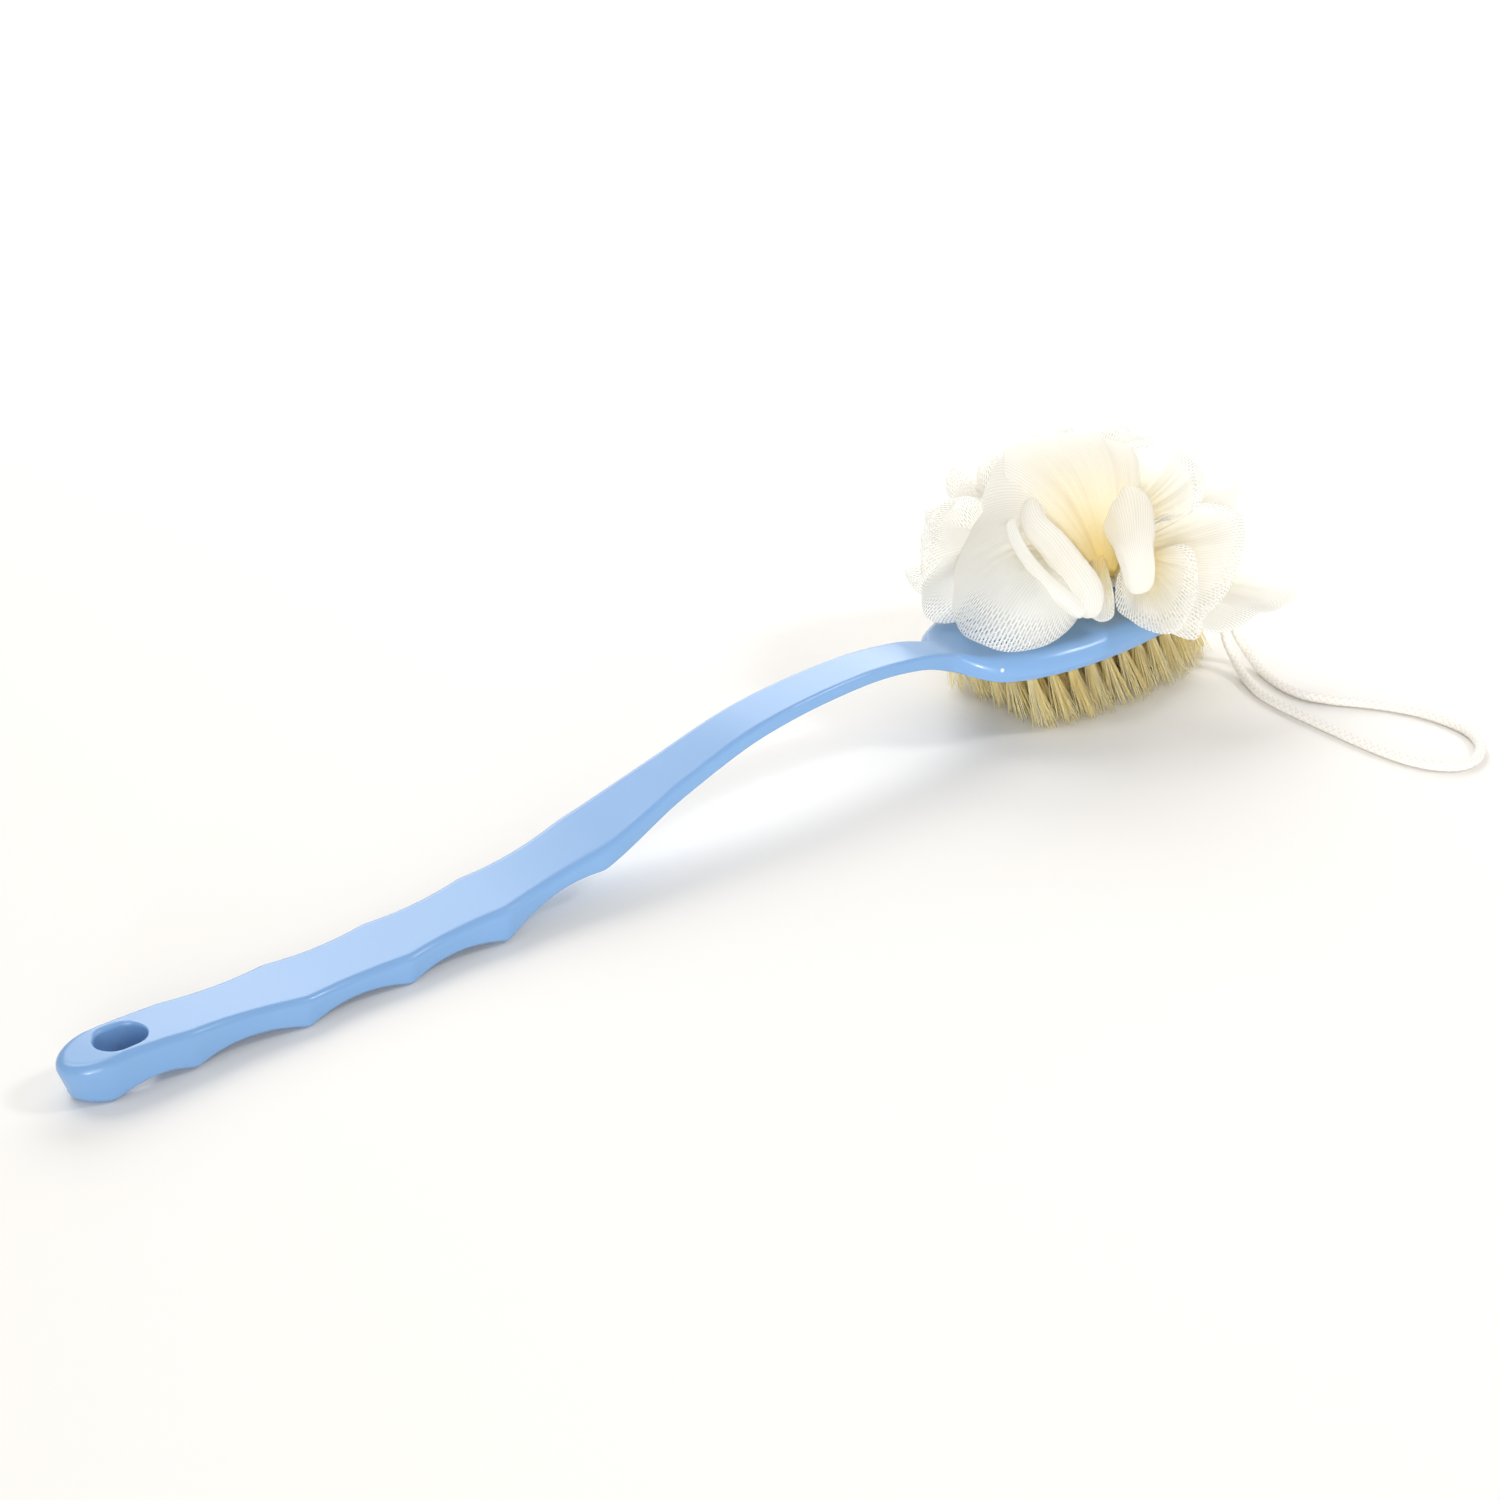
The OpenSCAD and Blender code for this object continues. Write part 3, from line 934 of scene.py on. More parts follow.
@dataclass
class Moulding:
    """The one-piece handle and head, as a wall carried round its plan outline.

    All of it is a function of two parameters: k runs round the outline, and the profile runs
    from the spine on the top face out to the edge, round it, down the side wall, round the lower
    edge and back to the spine below.
    """

    end_len: float = 29.5
    pitch: float = 29.0
    last_groove: float = 31.5
    neck_len: float = 133.0
    end_w: float = 16.6
    nose_len: float = 11.0
    nose_flat: float = 9.0
    grip_w: float = 22.4
    neck_w: float = 14.0
    side_scallop: float = 1.3
    groove_depth: float = 2.4
    end_h: float = 11.6
    palm_h: float = 7.9
    last_bump_h: float = 15.6
    last_bump_t: float = 6.8
    neck_t: float = 4.2
    arch_rise: float = 6.8
    head_len: float = 104.0
    head_w: float = 51.0
    head_t: float = 7.4
    under: float = 20.0
    slot_pos: float = 15.6
    slot_len: float = 12.4
    slot_w: float = 9.8
    slot_round: float = 1.1
    hole_d: float = 2.8
    hole_depth: float = 4.4
    rim: float = 5.0
    first_row: float = 20.0
    fine: float = 0.1
    merge: float = 0.004
    sharp: float = 40.0
    bridge_top: float = 31.2
    bridge_out: float = 5.3
    bridge_bend: float = 2.2
    bridge_half_w: float = 1.5
    bridge_half_t: float = 1.3

    def __post_init__(self) -> None:
        """Works out the places along the handle and the softened outlines."""
        self.bumps = self.end_len + np.array([0, 1, 2, 3, 3]) * self.pitch
        self.bumps[4] += self.last_groove
        self.head_x = self.bumps[4] + self.neck_len
        self.length = self.head_x + self.head_len
        self.head_mid = self.head_x + self.head_len / 2
        self.top = self.under + self.head_t
        self.row_step = (self.head_len - self.first_row - self.rim - 1) / (ROWS - 1)
        s = np.arange(0.0, self.length + self.fine, self.fine)
        self._s = s
        self._top = softened(self.raw_top(s), self.fine, 1.0)
        self._under = softened(self.raw_under(s), self.fine, 0.75)
        self._grip = softened(self.raw_side(s), self.fine, 0.9)

    def raw_top(self, s: Array) -> Array:
        """Height of the top face: a cubic line through the heights along the handle.

        Args:
            s: distances from the handle end.

        Returns:
            The height at each of them.
        """
        arch = self.top + self.arch_rise
        n = self.neck_len
        knots = [
            (0, self.end_h - 0.9),
            (self.slot_pos, self.end_h),
            (self.bumps[1] + self.pitch / 3, self.palm_h),
            (self.bumps[3], self.last_bump_h - 5.5),
            (self.bumps[4], self.last_bump_h),
            (self.head_x - n * 0.78, arch - 9.8),
            (self.head_x - n * 0.56, arch - 2.5),
            (self.head_x - n * 0.29, arch),
            (self.head_x - n * 0.105, arch - 2),
            (self.head_x + 8, self.top),
            (self.length, self.top),
        ]
        return np.where(s >= self.head_x + 8, self.top, smooth_line(knots, s))

    def scallop(self, s: Array) -> Array:
        """0 at the bumps either side of s and 1 midway between them, in one arc.

        Args:
            s: distances from the handle end.

        Returns:
            The share of a full scallop at each of them.
        """
        ends = np.concatenate([[self.nose_flat], self.bumps])
        i = np.clip(np.searchsorted(ends, s, side="right") - 1, 0, len(ends) - 2)
        u = (2 * s - ends[i] - ends[i + 1]) / (ends[i + 1] - ends[i])
        return np.where((s <= ends[0]) | (s >= ends[-1]), 0.0, 1.0 - u * u)

    def raw_under(self, s: Array) -> Array:
        """Height of the underside: chords between the bumps, arched by the finger grooves.

        Args:
            s: distances from the handle end.

        Returns:
            The height at each of them.
        """
        bump_z = [0.0, 0.6, 0.0, 0.0, 0.5, self.last_bump_h - self.last_bump_t]
        chord = np.interp(s, np.concatenate([[self.nose_flat], self.bumps]), bump_z)
        grip = chord + self.groove_depth * self.scallop(s)
        n = self.neck_len
        thick = smooth_line(
            [
                (self.bumps[4], self.last_bump_t),
                (self.head_x - n * 0.78, self.neck_t + 1.2),
                (self.head_x - n * 0.29, self.neck_t),
                (self.head_x - n * 0.09, self.neck_t + 0.5),
                (self.head_x + 10, self.head_t),
            ],
            s,
        )
        neck = np.where(s < self.head_x + 10, self.raw_top(s) - thick, self.under)
        return np.where(s < self.bumps[4], grip, neck)

    def raw_side(self, s: Array) -> Array:
        """Half width of the handle without its rounded end and without the head.

        Args:
            s: distances from the handle end.

        Returns:
            The half width at each of them.
        """
        n = self.neck_len
        half = smooth_line(
            [
                (0, self.end_w / 2),
                (self.slot_pos, self.end_w / 2),
                (self.bumps[0], self.end_w / 2 + 0.6),
                (self.bumps[1], self.grip_w / 2 - 0.3),
                (self.bumps[2], self.grip_w / 2),
                (self.bumps[4], self.grip_w / 2 - 0.4),
                (self.head_x - n * 0.78, self.neck_w / 2 + 1.3),
                (self.head_x - n * 0.5, self.neck_w / 2 + 0.4),
                (self.head_x, self.neck_w / 2 - 0.1),
                (self.length, self.neck_w / 2 - 0.1),
            ],
            s,
        )
        return half - self.side_scallop * np.where(s > self.bumps[0], self.scallop(s), 0.0)

    def top_at(self, s: Array) -> Array:
        """Height of the top face at s."""
        return np.interp(s, self._s, self._top)

    def under_at(self, s: Array) -> Array:
        """Height of the underside at s."""
        return np.interp(s, self._s, self._under)

    def half_at(self, s: Array) -> Array:
        """Half width of the whole: an oval end, the handle, and the head faired in by a cube sum.

        Args:
            s: distances from the handle end.

        Returns:
            The half width at each of them.
        """
        u = np.clip(np.abs(s - self.head_mid) / (self.head_len / 2), 0.0, 1.0)
        head = np.where(s > self.head_x, self.head_w / 2 * (1 - u**2.3) ** (1 / 2.3), 0.0)
        fade = np.clip((self.length - s) / (self.head_len / 2), 0.0, 1.0)
        handle = np.interp(s, self._s, self._grip)
        faired = np.cbrt((handle * fade) ** 3 + head**3)
        oval = self.end_w / 2 * np.sqrt(np.clip(1 - (1 - s / self.nose_len) ** 2, 0.0, 1.0))
        return np.where(s < self.nose_len, oval, faired)

    def tuft_places(self, row: int) -> Array:
        """Centres of the tuft holes of a row, spread evenly between the rims.

        Args:
            row: number of the row, from 1.

        Returns:
            The places, (s, y) one a line.
        """
        s = self.head_x + self.first_row + (row - 1) * self.row_step
        half = float(self.half_at(np.array(s))) - self.rim
        count = int(2 * half / self.row_step) + 1
        y = np.linspace(-half, half, count) if count > 1 else np.zeros(1)
        return np.stack([np.full(count, s), y], axis=1)

    def outline(self) -> Array:
        """Half of the plan outline, from the handle end to the head tip.

        Returns:
            The points, (s, y) one a line.
        """
        quarter = np.linspace(0.0, np.pi / 2, 26)
        nose = self.nose_len * (1 - np.cos(quarter))
        grip = np.linspace(self.nose_len, self.bumps[4] + 4, 230)[1:]
        neck = np.linspace(self.bumps[4] + 4, self.head_x - 2, 110)[1:]
        # The head's own points start half a millimetre along it
        start = np.arccos(1 - 2 * 0.5 / self.head_len)
        head = self.head_mid - self.head_len / 2 * np.cos(np.linspace(start, np.pi, 130))
        s = np.concatenate([nose, grip, neck, head])
        return np.stack([s, self.half_at(s)], axis=1)

    def wall(self) -> Shell:
        """The skin: for each outline point, the profile over, down and under to the spine.

        Returns:
            A closed shell of both halves.
        """
        edge = self.outline()
        s = edge[:, 0]
        run = np.gradient(edge, axis=0)
        run[0], run[-1] = (0.0, 1.0), (0.0, -1.0)
        inward = unit(np.stack([run[:, 1], -run[:, 0]], axis=1))
        spine = np.stack([np.clip(s, self.nose_len * 0.8, self.length - 22.0), np.zeros_like(s)], 1)
        room = np.linalg.norm(edge - spine, axis=1)
        tall = self.top_at(s) - self.under_at(s)
        head = smoothstep(self.head_x - 6, self.head_x + 14, s)
        r_top = smooth_line([(0, 2.2), (30, 1.9), (150, 1.9), (190, 1.3), (self.length, 1.3)], s)
        r_top = np.minimum(r_top * (1 - head) + 5.6 * head, np.minimum(0.76 * tall, 0.8 * room))
        nose = np.exp(-((s / 8.5) ** 2))
        r_low = np.minimum(0.22 * tall + 1.4 * nose, 0.8 * room)
        r_low = np.minimum(1.0 + 1.9 * nose - 0.4 * head, r_low)
        pull = 0.2 + 1.3 * nose
        turn = np.linspace(0.0, np.pi / 2, 9)[:, None]
        fall = np.linspace(0.0, 1.0, 10)[1:-1, None]
        low_turn = np.linspace(0.0, np.pi / 2, 7)[:, None]
        flat = np.linspace(0.0, 1.0, 9)[:, None]

        def plan(inset: Array) -> Array:
            """Points set in from the outline by inset."""
            return edge[None] + inset[..., None] * inward[None]

        over = plan(r_top[None] * (1 - np.sin(turn)))
        shoulder_drop = r_top[None] * (1 - np.cos(turn))
        face = spine[None] + (over[0][None] - spine[None]) * flat[:-1, :, None]
        side_top = self.top_at(s) - r_top
        side_low = self.under_at(s) + r_low
        below = np.maximum(fall - 0.12, 0.0) / 0.88
        side = plan(pull[None] * below)
        low = plan(pull[None] + r_low[None] * (1 - np.cos(low_turn)))
        base = spine[None] + (low[-1][None] - spine[None]) * flat[::-1][1:, :, None]
        place = np.concatenate([face, over, side, low, base])
        sagged = self.under_at(low[..., 0]) - self.under_at(s)[None]
        z = np.concatenate(
            [
                self.top_at(face[..., 0]),
                self.top_at(over[..., 0]) - shoulder_drop,
                side_top[None] + (side_low - side_top)[None] * fall,
                side_low[None] - r_low[None] * np.sin(low_turn) + sagged,
                self.under_at(base[..., 0]),
            ]
        )
        near = np.stack([place[..., 0] - ORIGIN, place[..., 1], z], axis=-1)
        far = near * np.array([1.0, -1.0, 1.0])
        ring = np.concatenate([near, far[:, ::-1]], axis=1)
        faces = grid_faces(ring.shape[0], ring.shape[1], wrap_cols=True)
        return Shell(ring.reshape(-1, 3), faces)

    def slot_cutter(self) -> Shell:
        """Stadium-shaped plug whose radius flares in a quarter round at the top face.

        Returns:
            A closed shell.
        """
        a = np.linspace(0.0, TAU, 96, endpoint=False)
        shift = np.sign(np.cos(a)) * (self.slot_len - self.slot_w) / 2
        turn = np.radians(np.linspace(0.0, 78.0, 9))
        top = self.end_h
        grow = self.slot_round * (1 - np.cos(turn))
        z = np.concatenate([[-3.0, 1.0], top - self.slot_round + self.slot_round * np.sin(turn)])
        extra = np.concatenate([[0.0, 0.0], grow])
        slope = np.array([z[-1] - z[-2], extra[-1] - extra[-2]])
        z = np.append(z, z[-1] + slope[0] / slope[1] * 1.5)
        extra = np.append(extra, extra[-1] + 1.5)
        r = (self.slot_w / 2 + extra)[:, None]
        x = self.slot_pos - ORIGIN + shift[None] + r * np.cos(a)[None]
        y = r * np.sin(a)[None]
        rings = np.stack([x, y, np.broadcast_to(z[:, None], x.shape)], axis=-1)
        middle = np.array([self.slot_pos - ORIGIN, 0.0, 0.0])
        low_cap = np.broadcast_to(middle + [0.0, 0.0, z[0]], rings[:1].shape)
        high_cap = np.broadcast_to(middle + [0.0, 0.0, z[-1]], rings[:1].shape)
        grid = np.concatenate([low_cap, rings, high_cap])
        return Shell(grid.reshape(-1, 3), grid_faces(len(grid), len(a), wrap_cols=True))

    def hole_cutter(self) -> Shell:
        """All the tuft holes as short round plugs, one grid of places, heights and sides.

        Returns:
            One shell of all the plugs.
        """
        places = np.concatenate([self.tuft_places(r) for r in range(1, ROWS + 1)])
        a = np.linspace(0.0, TAU, 20, endpoint=False)
        radius = np.array([1e-3, 1.0, 1.0, 1e-3]) * self.hole_d / 2
        low, high = self.under - 1, self.under + self.hole_depth
        z = np.array([low, low, high, high])
        x = places[:, 0, None, None] - ORIGIN + radius[None, :, None] * np.cos(a)
        y = places[:, 1, None, None] + radius[None, :, None] * np.sin(a)
        grid = np.stack([x, y, np.broadcast_to(z[None, :, None], x.shape)], axis=-1)
        faces = grid_faces(4, len(a), wrap_cols=True)
        count = grid.shape[1] * grid.shape[2]
        all_faces = faces[None] + np.arange(len(places))[:, None, None] * count
        return Shell(grid.reshape(-1, 3), all_faces.reshape(-1, 4))

    def bridge(self) -> Shell:
        """The tie bridge: a rounded bar bent up, over and down, with a superellipse section.

        Returns:
            A closed shell.
        """
        foot, top = self.top - 1.0, self.bridge_top
        out, bend = self.bridge_out, self.bridge_bend
        corner = np.linspace(0.0, np.pi / 2, 8)
        rise = np.linspace(foot, top - bend, 6)[:-1]
        left = np.stack([np.full_like(rise, -out), rise], 1)
        arc = np.stack([-out + bend - bend * np.cos(corner), top - bend + bend * np.sin(corner)], 1)
        half = np.vstack([left, arc])
        line = np.vstack([half, half[::-1] * [-1, 1]])
        along = unit(np.gradient(line, axis=0))
        a = np.linspace(0.0, TAU, 28, endpoint=False)
        power = 2 / 4.5
        side = np.sign(np.cos(a)) * np.abs(np.cos(a)) ** power * self.bridge_half_w
        thick = np.sign(np.sin(a)) * np.abs(np.sin(a)) ** power * self.bridge_half_t
        x = TIE_X + np.broadcast_to(side[None], (len(line), len(a)))
        y = line[:, 0, None] - along[:, 1, None] * thick[None]
        z = line[:, 1, None] + along[:, 0, None] * thick[None]
        rings = np.stack([x, y, z], axis=-1)
        ends = rings[[0, -1]].mean(axis=1, keepdims=True) + np.zeros_like(rings[[0, -1]])
        grid = np.concatenate([ends[:1], rings, ends[1:]])
        return Shell(grid.reshape(-1, 3), grid_faces(len(grid), len(a), wrap_cols=True))

    def build(self, finish: bpy.types.Material) -> bpy.types.Object:
        """Skin, slot, tuft holes and bridge as one closed mesh in the moulded finish.

        Args:
            finish: the moulded finish.

        Returns:
            The finished piece.
        """
        obj = make_object("handle_and_head", self.wall(), self.merge)
        combine(obj, make_object("slot_plug", self.slot_cutter(), self.merge), Join.CUT)
        combine(obj, make_object("hole_plugs", self.hole_cutter(), self.merge), Join.CUT)
        combine(obj, make_object("bridge_bar", self.bridge(), self.merge), Join.ADD)
        mesh = obj.data
        mesh.polygons.foreach_set("use_smooth", np.ones(len(mesh.polygons), bool))
        mesh.set_sharp_from_angle(angle=np.radians(self.sharp))
        return dress(obj, finish, Body.BRUSH, Slot.PLASTIC, "brush_body")


# ---------------------------------------------------------------- bristles


@dataclass
class BristleRow:
    """One row of tufts, each a bundle of crimped filaments folded into its hole.

    Filaments are fewer and thicker than real ones, so that each of them shows.
    """

    number: int
    moulding: Moulding
    filaments: int = 42
    radius: float = 0.155
    rings: int = 9
    sides: int = 3
    lean: float = 9.0
    outward: float = 0.03
    splay: float = 4.0
    crimp: float = 0.16
    crimp_len: float = 4.4
    anchor: float = 3.6

    def shell(self) -> Shell:
        """Filaments as thin tubes: root + (tip - root) share^1.05 sideways, and evenly downwards.

        Returns:
            One shell of all the filaments of the row.
        """
        places = self.moulding.tuft_places(self.number)
        chance = np.random.default_rng(1000 + self.number)
        tufts, f = len(places), self.filaments
        k = (np.arange(f) + 0.5) / f
        swirl = TAU * GOLDEN * np.arange(f)[None] + chance.random((tufts, 1)) * TAU
        disc = np.stack([np.sqrt(k) * np.cos(swirl), np.sqrt(k) * np.sin(swirl)], axis=-1)
        root = places[:, None] - [ORIGIN, 0.0] + disc * (self.moulding.hole_d / 2 - 0.22)
        wander = chance.normal(0.0, 0.55, (tufts, f, 2))
        stray = (chance.random((tufts, f, 1)) < 0.05) * chance.normal(0.0, 2.2, (tufts, f, 2))
        push = chance.normal(0.0, 0.5, (tufts, 1, 2))
        wide = self.splay * chance.uniform(0.9, 1.12, (tufts, 1, 1))
        tip = places[:, None] - [ORIGIN, 0.0] + disc * wide + wander + stray + push
        tip = tip + np.stack([np.full(tufts, self.lean), places[:, 1] * self.outward], 1)[:, None]
        low = np.clip(chance.gamma(1.6, 0.45, (tufts, f)), 0.12, 3.2)
        t = np.linspace(0.0, 1.0, self.rings)
        top = self.moulding.under + self.anchor
        fallen = t * (top - low[..., None])
        share = np.clip((fallen - self.anchor) / (self.moulding.under - low[..., None]), 0, 1)
        bend = (share**1.05)[..., None]
        line = root[:, :, None] + (tip - root)[:, :, None] * bend
        phase = chance.random((tufts, f, 1)) * TAU
        facing = chance.random((tufts, f, 1)) * TAU
        wave = self.crimp * share * np.sin(TAU * share * self.moulding.under / self.crimp_len + phase)
        line = line + wave[..., None] * np.stack([np.cos(facing), np.sin(facing)], axis=-1)
        z = top - fallen
        a = np.linspace(0.0, TAU, self.sides, endpoint=False)
        taper = self.radius * (1 - 0.25 * t)
        x = line[..., 0, None] + taper[:, None] * np.cos(a + 0.4)
        y = line[..., 1, None] + taper[:, None] * np.sin(a + 0.4)
        grid = np.stack([x, y, np.broadcast_to(z[..., None], x.shape)], axis=-1)
        total = tufts * f
        grid = grid.reshape(total, self.rings * self.sides, 3)
        faces = grid_faces(self.rings, self.sides, wrap_cols=True)[:, ::-1]
        last = (self.rings - 1) * self.sides
        caps = np.array([[0, 1, 2, 2], [last + 2, last + 1, last, last]])
        faces = np.concatenate([faces, caps])
        starts = np.arange(total)[:, None, None] * self.rings * self.sides
        faces = (faces[None] + starts).reshape(-1, 4)
        down = np.broadcast_to(share[..., None], (tufts, f, self.rings, self.sides))
        tone = np.broadcast_to(chance.random((tufts, f, 1, 1)) ** 1.4, down.shape)
        # Painted shade: how much root yellow each tuft gets, full in the middle of the head, less near the
        # rims and in the end rows
        reach = np.abs(places[:, 1]) / max(np.abs(places[:, 1]).max(), 1.0)
        inner = 1.0 - 0.75 * smoothstep(0.82, 1.0, reach)
        if self.number in (1, ROWS):
            inner = inner * 0.3
        inner = np.broadcast_to(inner[:, None, None, None], down.shape)
        values = {"down": down.ravel(), "tone": tone.ravel(), "inner": inner.ravel()}
        return Shell(grid.reshape(-1, 3), faces, None, values)

    def build(self, finish: bpy.types.Material) -> bpy.types.Object:
        """The row in the bristle finish, in place of its plain cones.

        Args:
            finish: the bristle finish.

        Returns:
            The finished piece.
        """
        obj = make_object(f"bristle_row_{self.number}", self.shell())
        return dress(obj, finish, Body.BRUSH, Slot.BRISTLE, f"tuft_row_{self.number}")


# ---------------------------------------------------------------- cord


@dataclass
class Braid:
    """Round braid: two sets of strands winding opposite ways, each over and under in turn."""

    diameter: float = 2.9
    strands: int = 8
    lay: float = 9.5
    relief: float = 0.17

    def height(self, angle: Array, run: Array) -> Array:
        """Relief from 0 to 1: the higher of two crossing ridges, swapped cell by cell.

        A strand is a rounded ridge across its own width, and it rises and dips along its length
        by whether the chequer of crossings puts it over or under.

        Args:
            angle: angles round the path.
            run: distances along it.

        Returns:
            The relief at each of them.
        """
        right = self.strands / 2 * (angle / TAU + run / self.lay)
        left = self.strands / 2 * (angle / TAU - run / self.lay)
        ridge_r = 1 - (2 * (right % 1.0) - 1) ** 2
        ridge_l = 1 - (2 * (left % 1.0) - 1) ** 2
        weave = np.cos(np.pi * right) * np.cos(np.pi * left)
        over = smoothstep(-0.35, 0.35, weave)
        return np.clip(np.sqrt(ridge_r) * over + np.sqrt(ridge_l) * (1 - over), 0.0, 1.0)

    def radius(self, angle: Array, run: Array) -> Array:
        """Distance from the path: half the diameter on average, more on a strand."""
        return self.diameter / 2 - self.relief * 0.65 + self.relief * self.height(angle, run)

    def tube(self, path: Array, closed: bool = False, sides: int = 28) -> Shell:
        """Braided tube about a path.

        Args:
            path: centres of the rings.
            closed: whether the path joins itself.
            sides: points round a ring.

        Returns:
            A closed shell with the relief of the braid as an attribute.
        """
        shell = swept_tube(path, self.radius, sides, closed, (1.0, 1.0 / self.lay))
        steps = np.linalg.norm(np.diff(path, axis=0), axis=1)
        run = np.concatenate([[0.0], np.cumsum(steps)])[:, None]
        angle = np.linspace(0.0, TAU, sides + 1)[None]
        relief = np.broadcast_to(self.height(angle, run), (len(path), sides + 1))
        shell.values["relief"] = relief.ravel()
        return shell


# The middle line of the free loop in millimetres, in the row frame, as the CAD lays it
CORD_ROUTE = (
    (151, 1.5, 29.8), (157, 1.4, 29), (164, -2, 29), (171, -8.5, 29),
    (177, -14.8, 28.9), (182, -18.6, 26.6), (186, -20.6, 21.6), (188.6, -21.6, 15.4),
    (189.8, -23, 9.4), (189.4, -28.2, 4.6), (186.2, -37, 1.7), (182.4, -47, 1.5),
    (181.8, -56, 1.5), (185.6, -64.5, 1.5), (190.6, -71.5, 1.5), (195, -79, 1.5),
    (198, -87, 1.5), (199, -96, 1.5), (197.6, -104, 1.5), (192.6, -111, 1.5),
    (185, -115, 1.5), (177.6, -114.8, 1.5), (172, -110, 1.5), (169, -103, 1.5),
    (168, -94, 1.5), (168.2, -84, 1.5), (169, -74, 1.5), (170, -63, 1.5),
    (171, -54, 1.5), (173.6, -45, 1.5), (179.2, -34.8, 2.2), (182.4, -28.4, 5),
    (183, -24.6, 9.6), (182.2, -23.8, 15.4), (179.8, -23.4, 21.6), (176.4, -22.4, 26.6),
    (171.6, -19.2, 28.9), (166, -14, 29), (160.6, -8, 29), (155.6, -3, 29),
    (151, -1.5, 29.8),
)


@dataclass
class HangingCord:
    """The loop of braided cord and the turn, knot and winding that tie the pouf with it."""

    braid: Braid = field(default_factory=Braid)
    route: Sequence[tuple[float, float, float]] = CORD_ROUTE
    length: float = 324.0
    step: float = 0.27
    tie: tuple[float, float, float] = (TIE_X, 0.0, 32.535)
    turn_radius: float = 3.585
    knot: tuple[float, float, float] = (149.8, 0.0, 30.05)
    winding: tuple[float, float] = (38.0, 62.2)
    winding_radius: float = 7.3
    winding_pitch: float = 2.95
    knot_braid: Braid = field(default_factory=lambda: Braid(diameter=1.9, lay=6.0, relief=0.12))
    knot_scale: float = 0.56
    knot_height: float = 1.6
    merge: float = 0.002

    def loop(self, finish: bpy.types.Material) -> bpy.types.Object:
        """The free loop, from the knot over the rim of the head, along the table and back.

        Args:
            finish: the braided finish.

        Returns:
            The finished piece.
        """
        path = smooth_curve(np.array(self.route), int(self.length / self.step))
        obj = make_object("hanging_cord", self.braid.tube(path), self.merge)
        dress(obj, finish, Body.BRUSH, Slot.CORD, "cord_loop")
        return obj

    def turn(self, finish: bpy.types.Material) -> bpy.types.Object:
        """The turn of cord under the bridge: a circle about Y.

        Args:
            finish: the braided finish.

        Returns:
            The finished piece.
        """
        a = np.linspace(0.0, TAU, 90, endpoint=False)
        ring = np.stack([np.cos(a), np.zeros_like(a), np.sin(a)], axis=1) * self.turn_radius
        obj = make_object("tie_turn", self.braid.tube(ring + self.tie, closed=True), self.merge)
        return dress(obj, finish, Body.BRUSH, Slot.CORD, "tie_ring")

    def knot_piece(self, finish: bpy.types.Material) -> bpy.types.Object:
        """The overhand knot: a trefoil (sin a + 2 sin 2a, cos a - 2 cos 2a, -1.6 sin 3a).

        Args:
            finish: the braided finish.

        Returns:
            The finished piece.
        """
        a = np.linspace(0.0, TAU, 160, endpoint=False)
        x, y = np.sin(a) + 2 * np.sin(2 * a), np.cos(a) - 2 * np.cos(2 * a)
        line = np.stack([x, y, -self.knot_height * np.sin(3 * a)], 1) * self.knot_scale + self.knot
        obj = make_object("loop_knot", self.knot_braid.tube(line, closed=True, sides=20), self.merge)
        return dress(obj, finish, Body.BRUSH, Slot.CORD, "tie_knot")

    def winding_piece(self, finish: bpy.types.Material) -> bpy.types.Object:
        """The cord wound round the gathered core: a helix about the tie axis.

        Args:
            finish: the braided finish.

        Returns:
            The finished piece.
        """
        low, high = self.winding
        climb = high - low - self.braid.diameter
        turns = climb / self.winding_pitch
        a = np.linspace(0.0, TAU * turns, int(80 * turns))
        z = low + self.braid.diameter / 2 + climb * a / a[-1]
        r = self.winding_radius
        line = np.stack([self.tie[0] + r * np.cos(a), r * np.sin(a), z], axis=1)
        obj = make_object("tie_winding_cord", self.braid.tube(line, sides=16), self.merge)
        return dress(obj, finish, Body.POUF, Slot.CORD, "tie_winding")


# ---------------------------------------------------------------- pouf


# The waves of a gather: each one's share of the rib count, and its share of the depth
GATHER_WAVES = ((0.37, 0.7), (0.61, 0.6), (1.0, 0.5), (1.57, 0.35), (2.3, 0.2))


def placed(where: Array) -> Array:
    """Bearing about the tie in degrees, height and reach, as a point in the row frame."""
    b, reach = np.radians(where[..., 0]), where[..., 2]
    return np.stack([TIE_X + reach * np.cos(b), reach * np.sin(b), where[..., 1]], axis=-1)


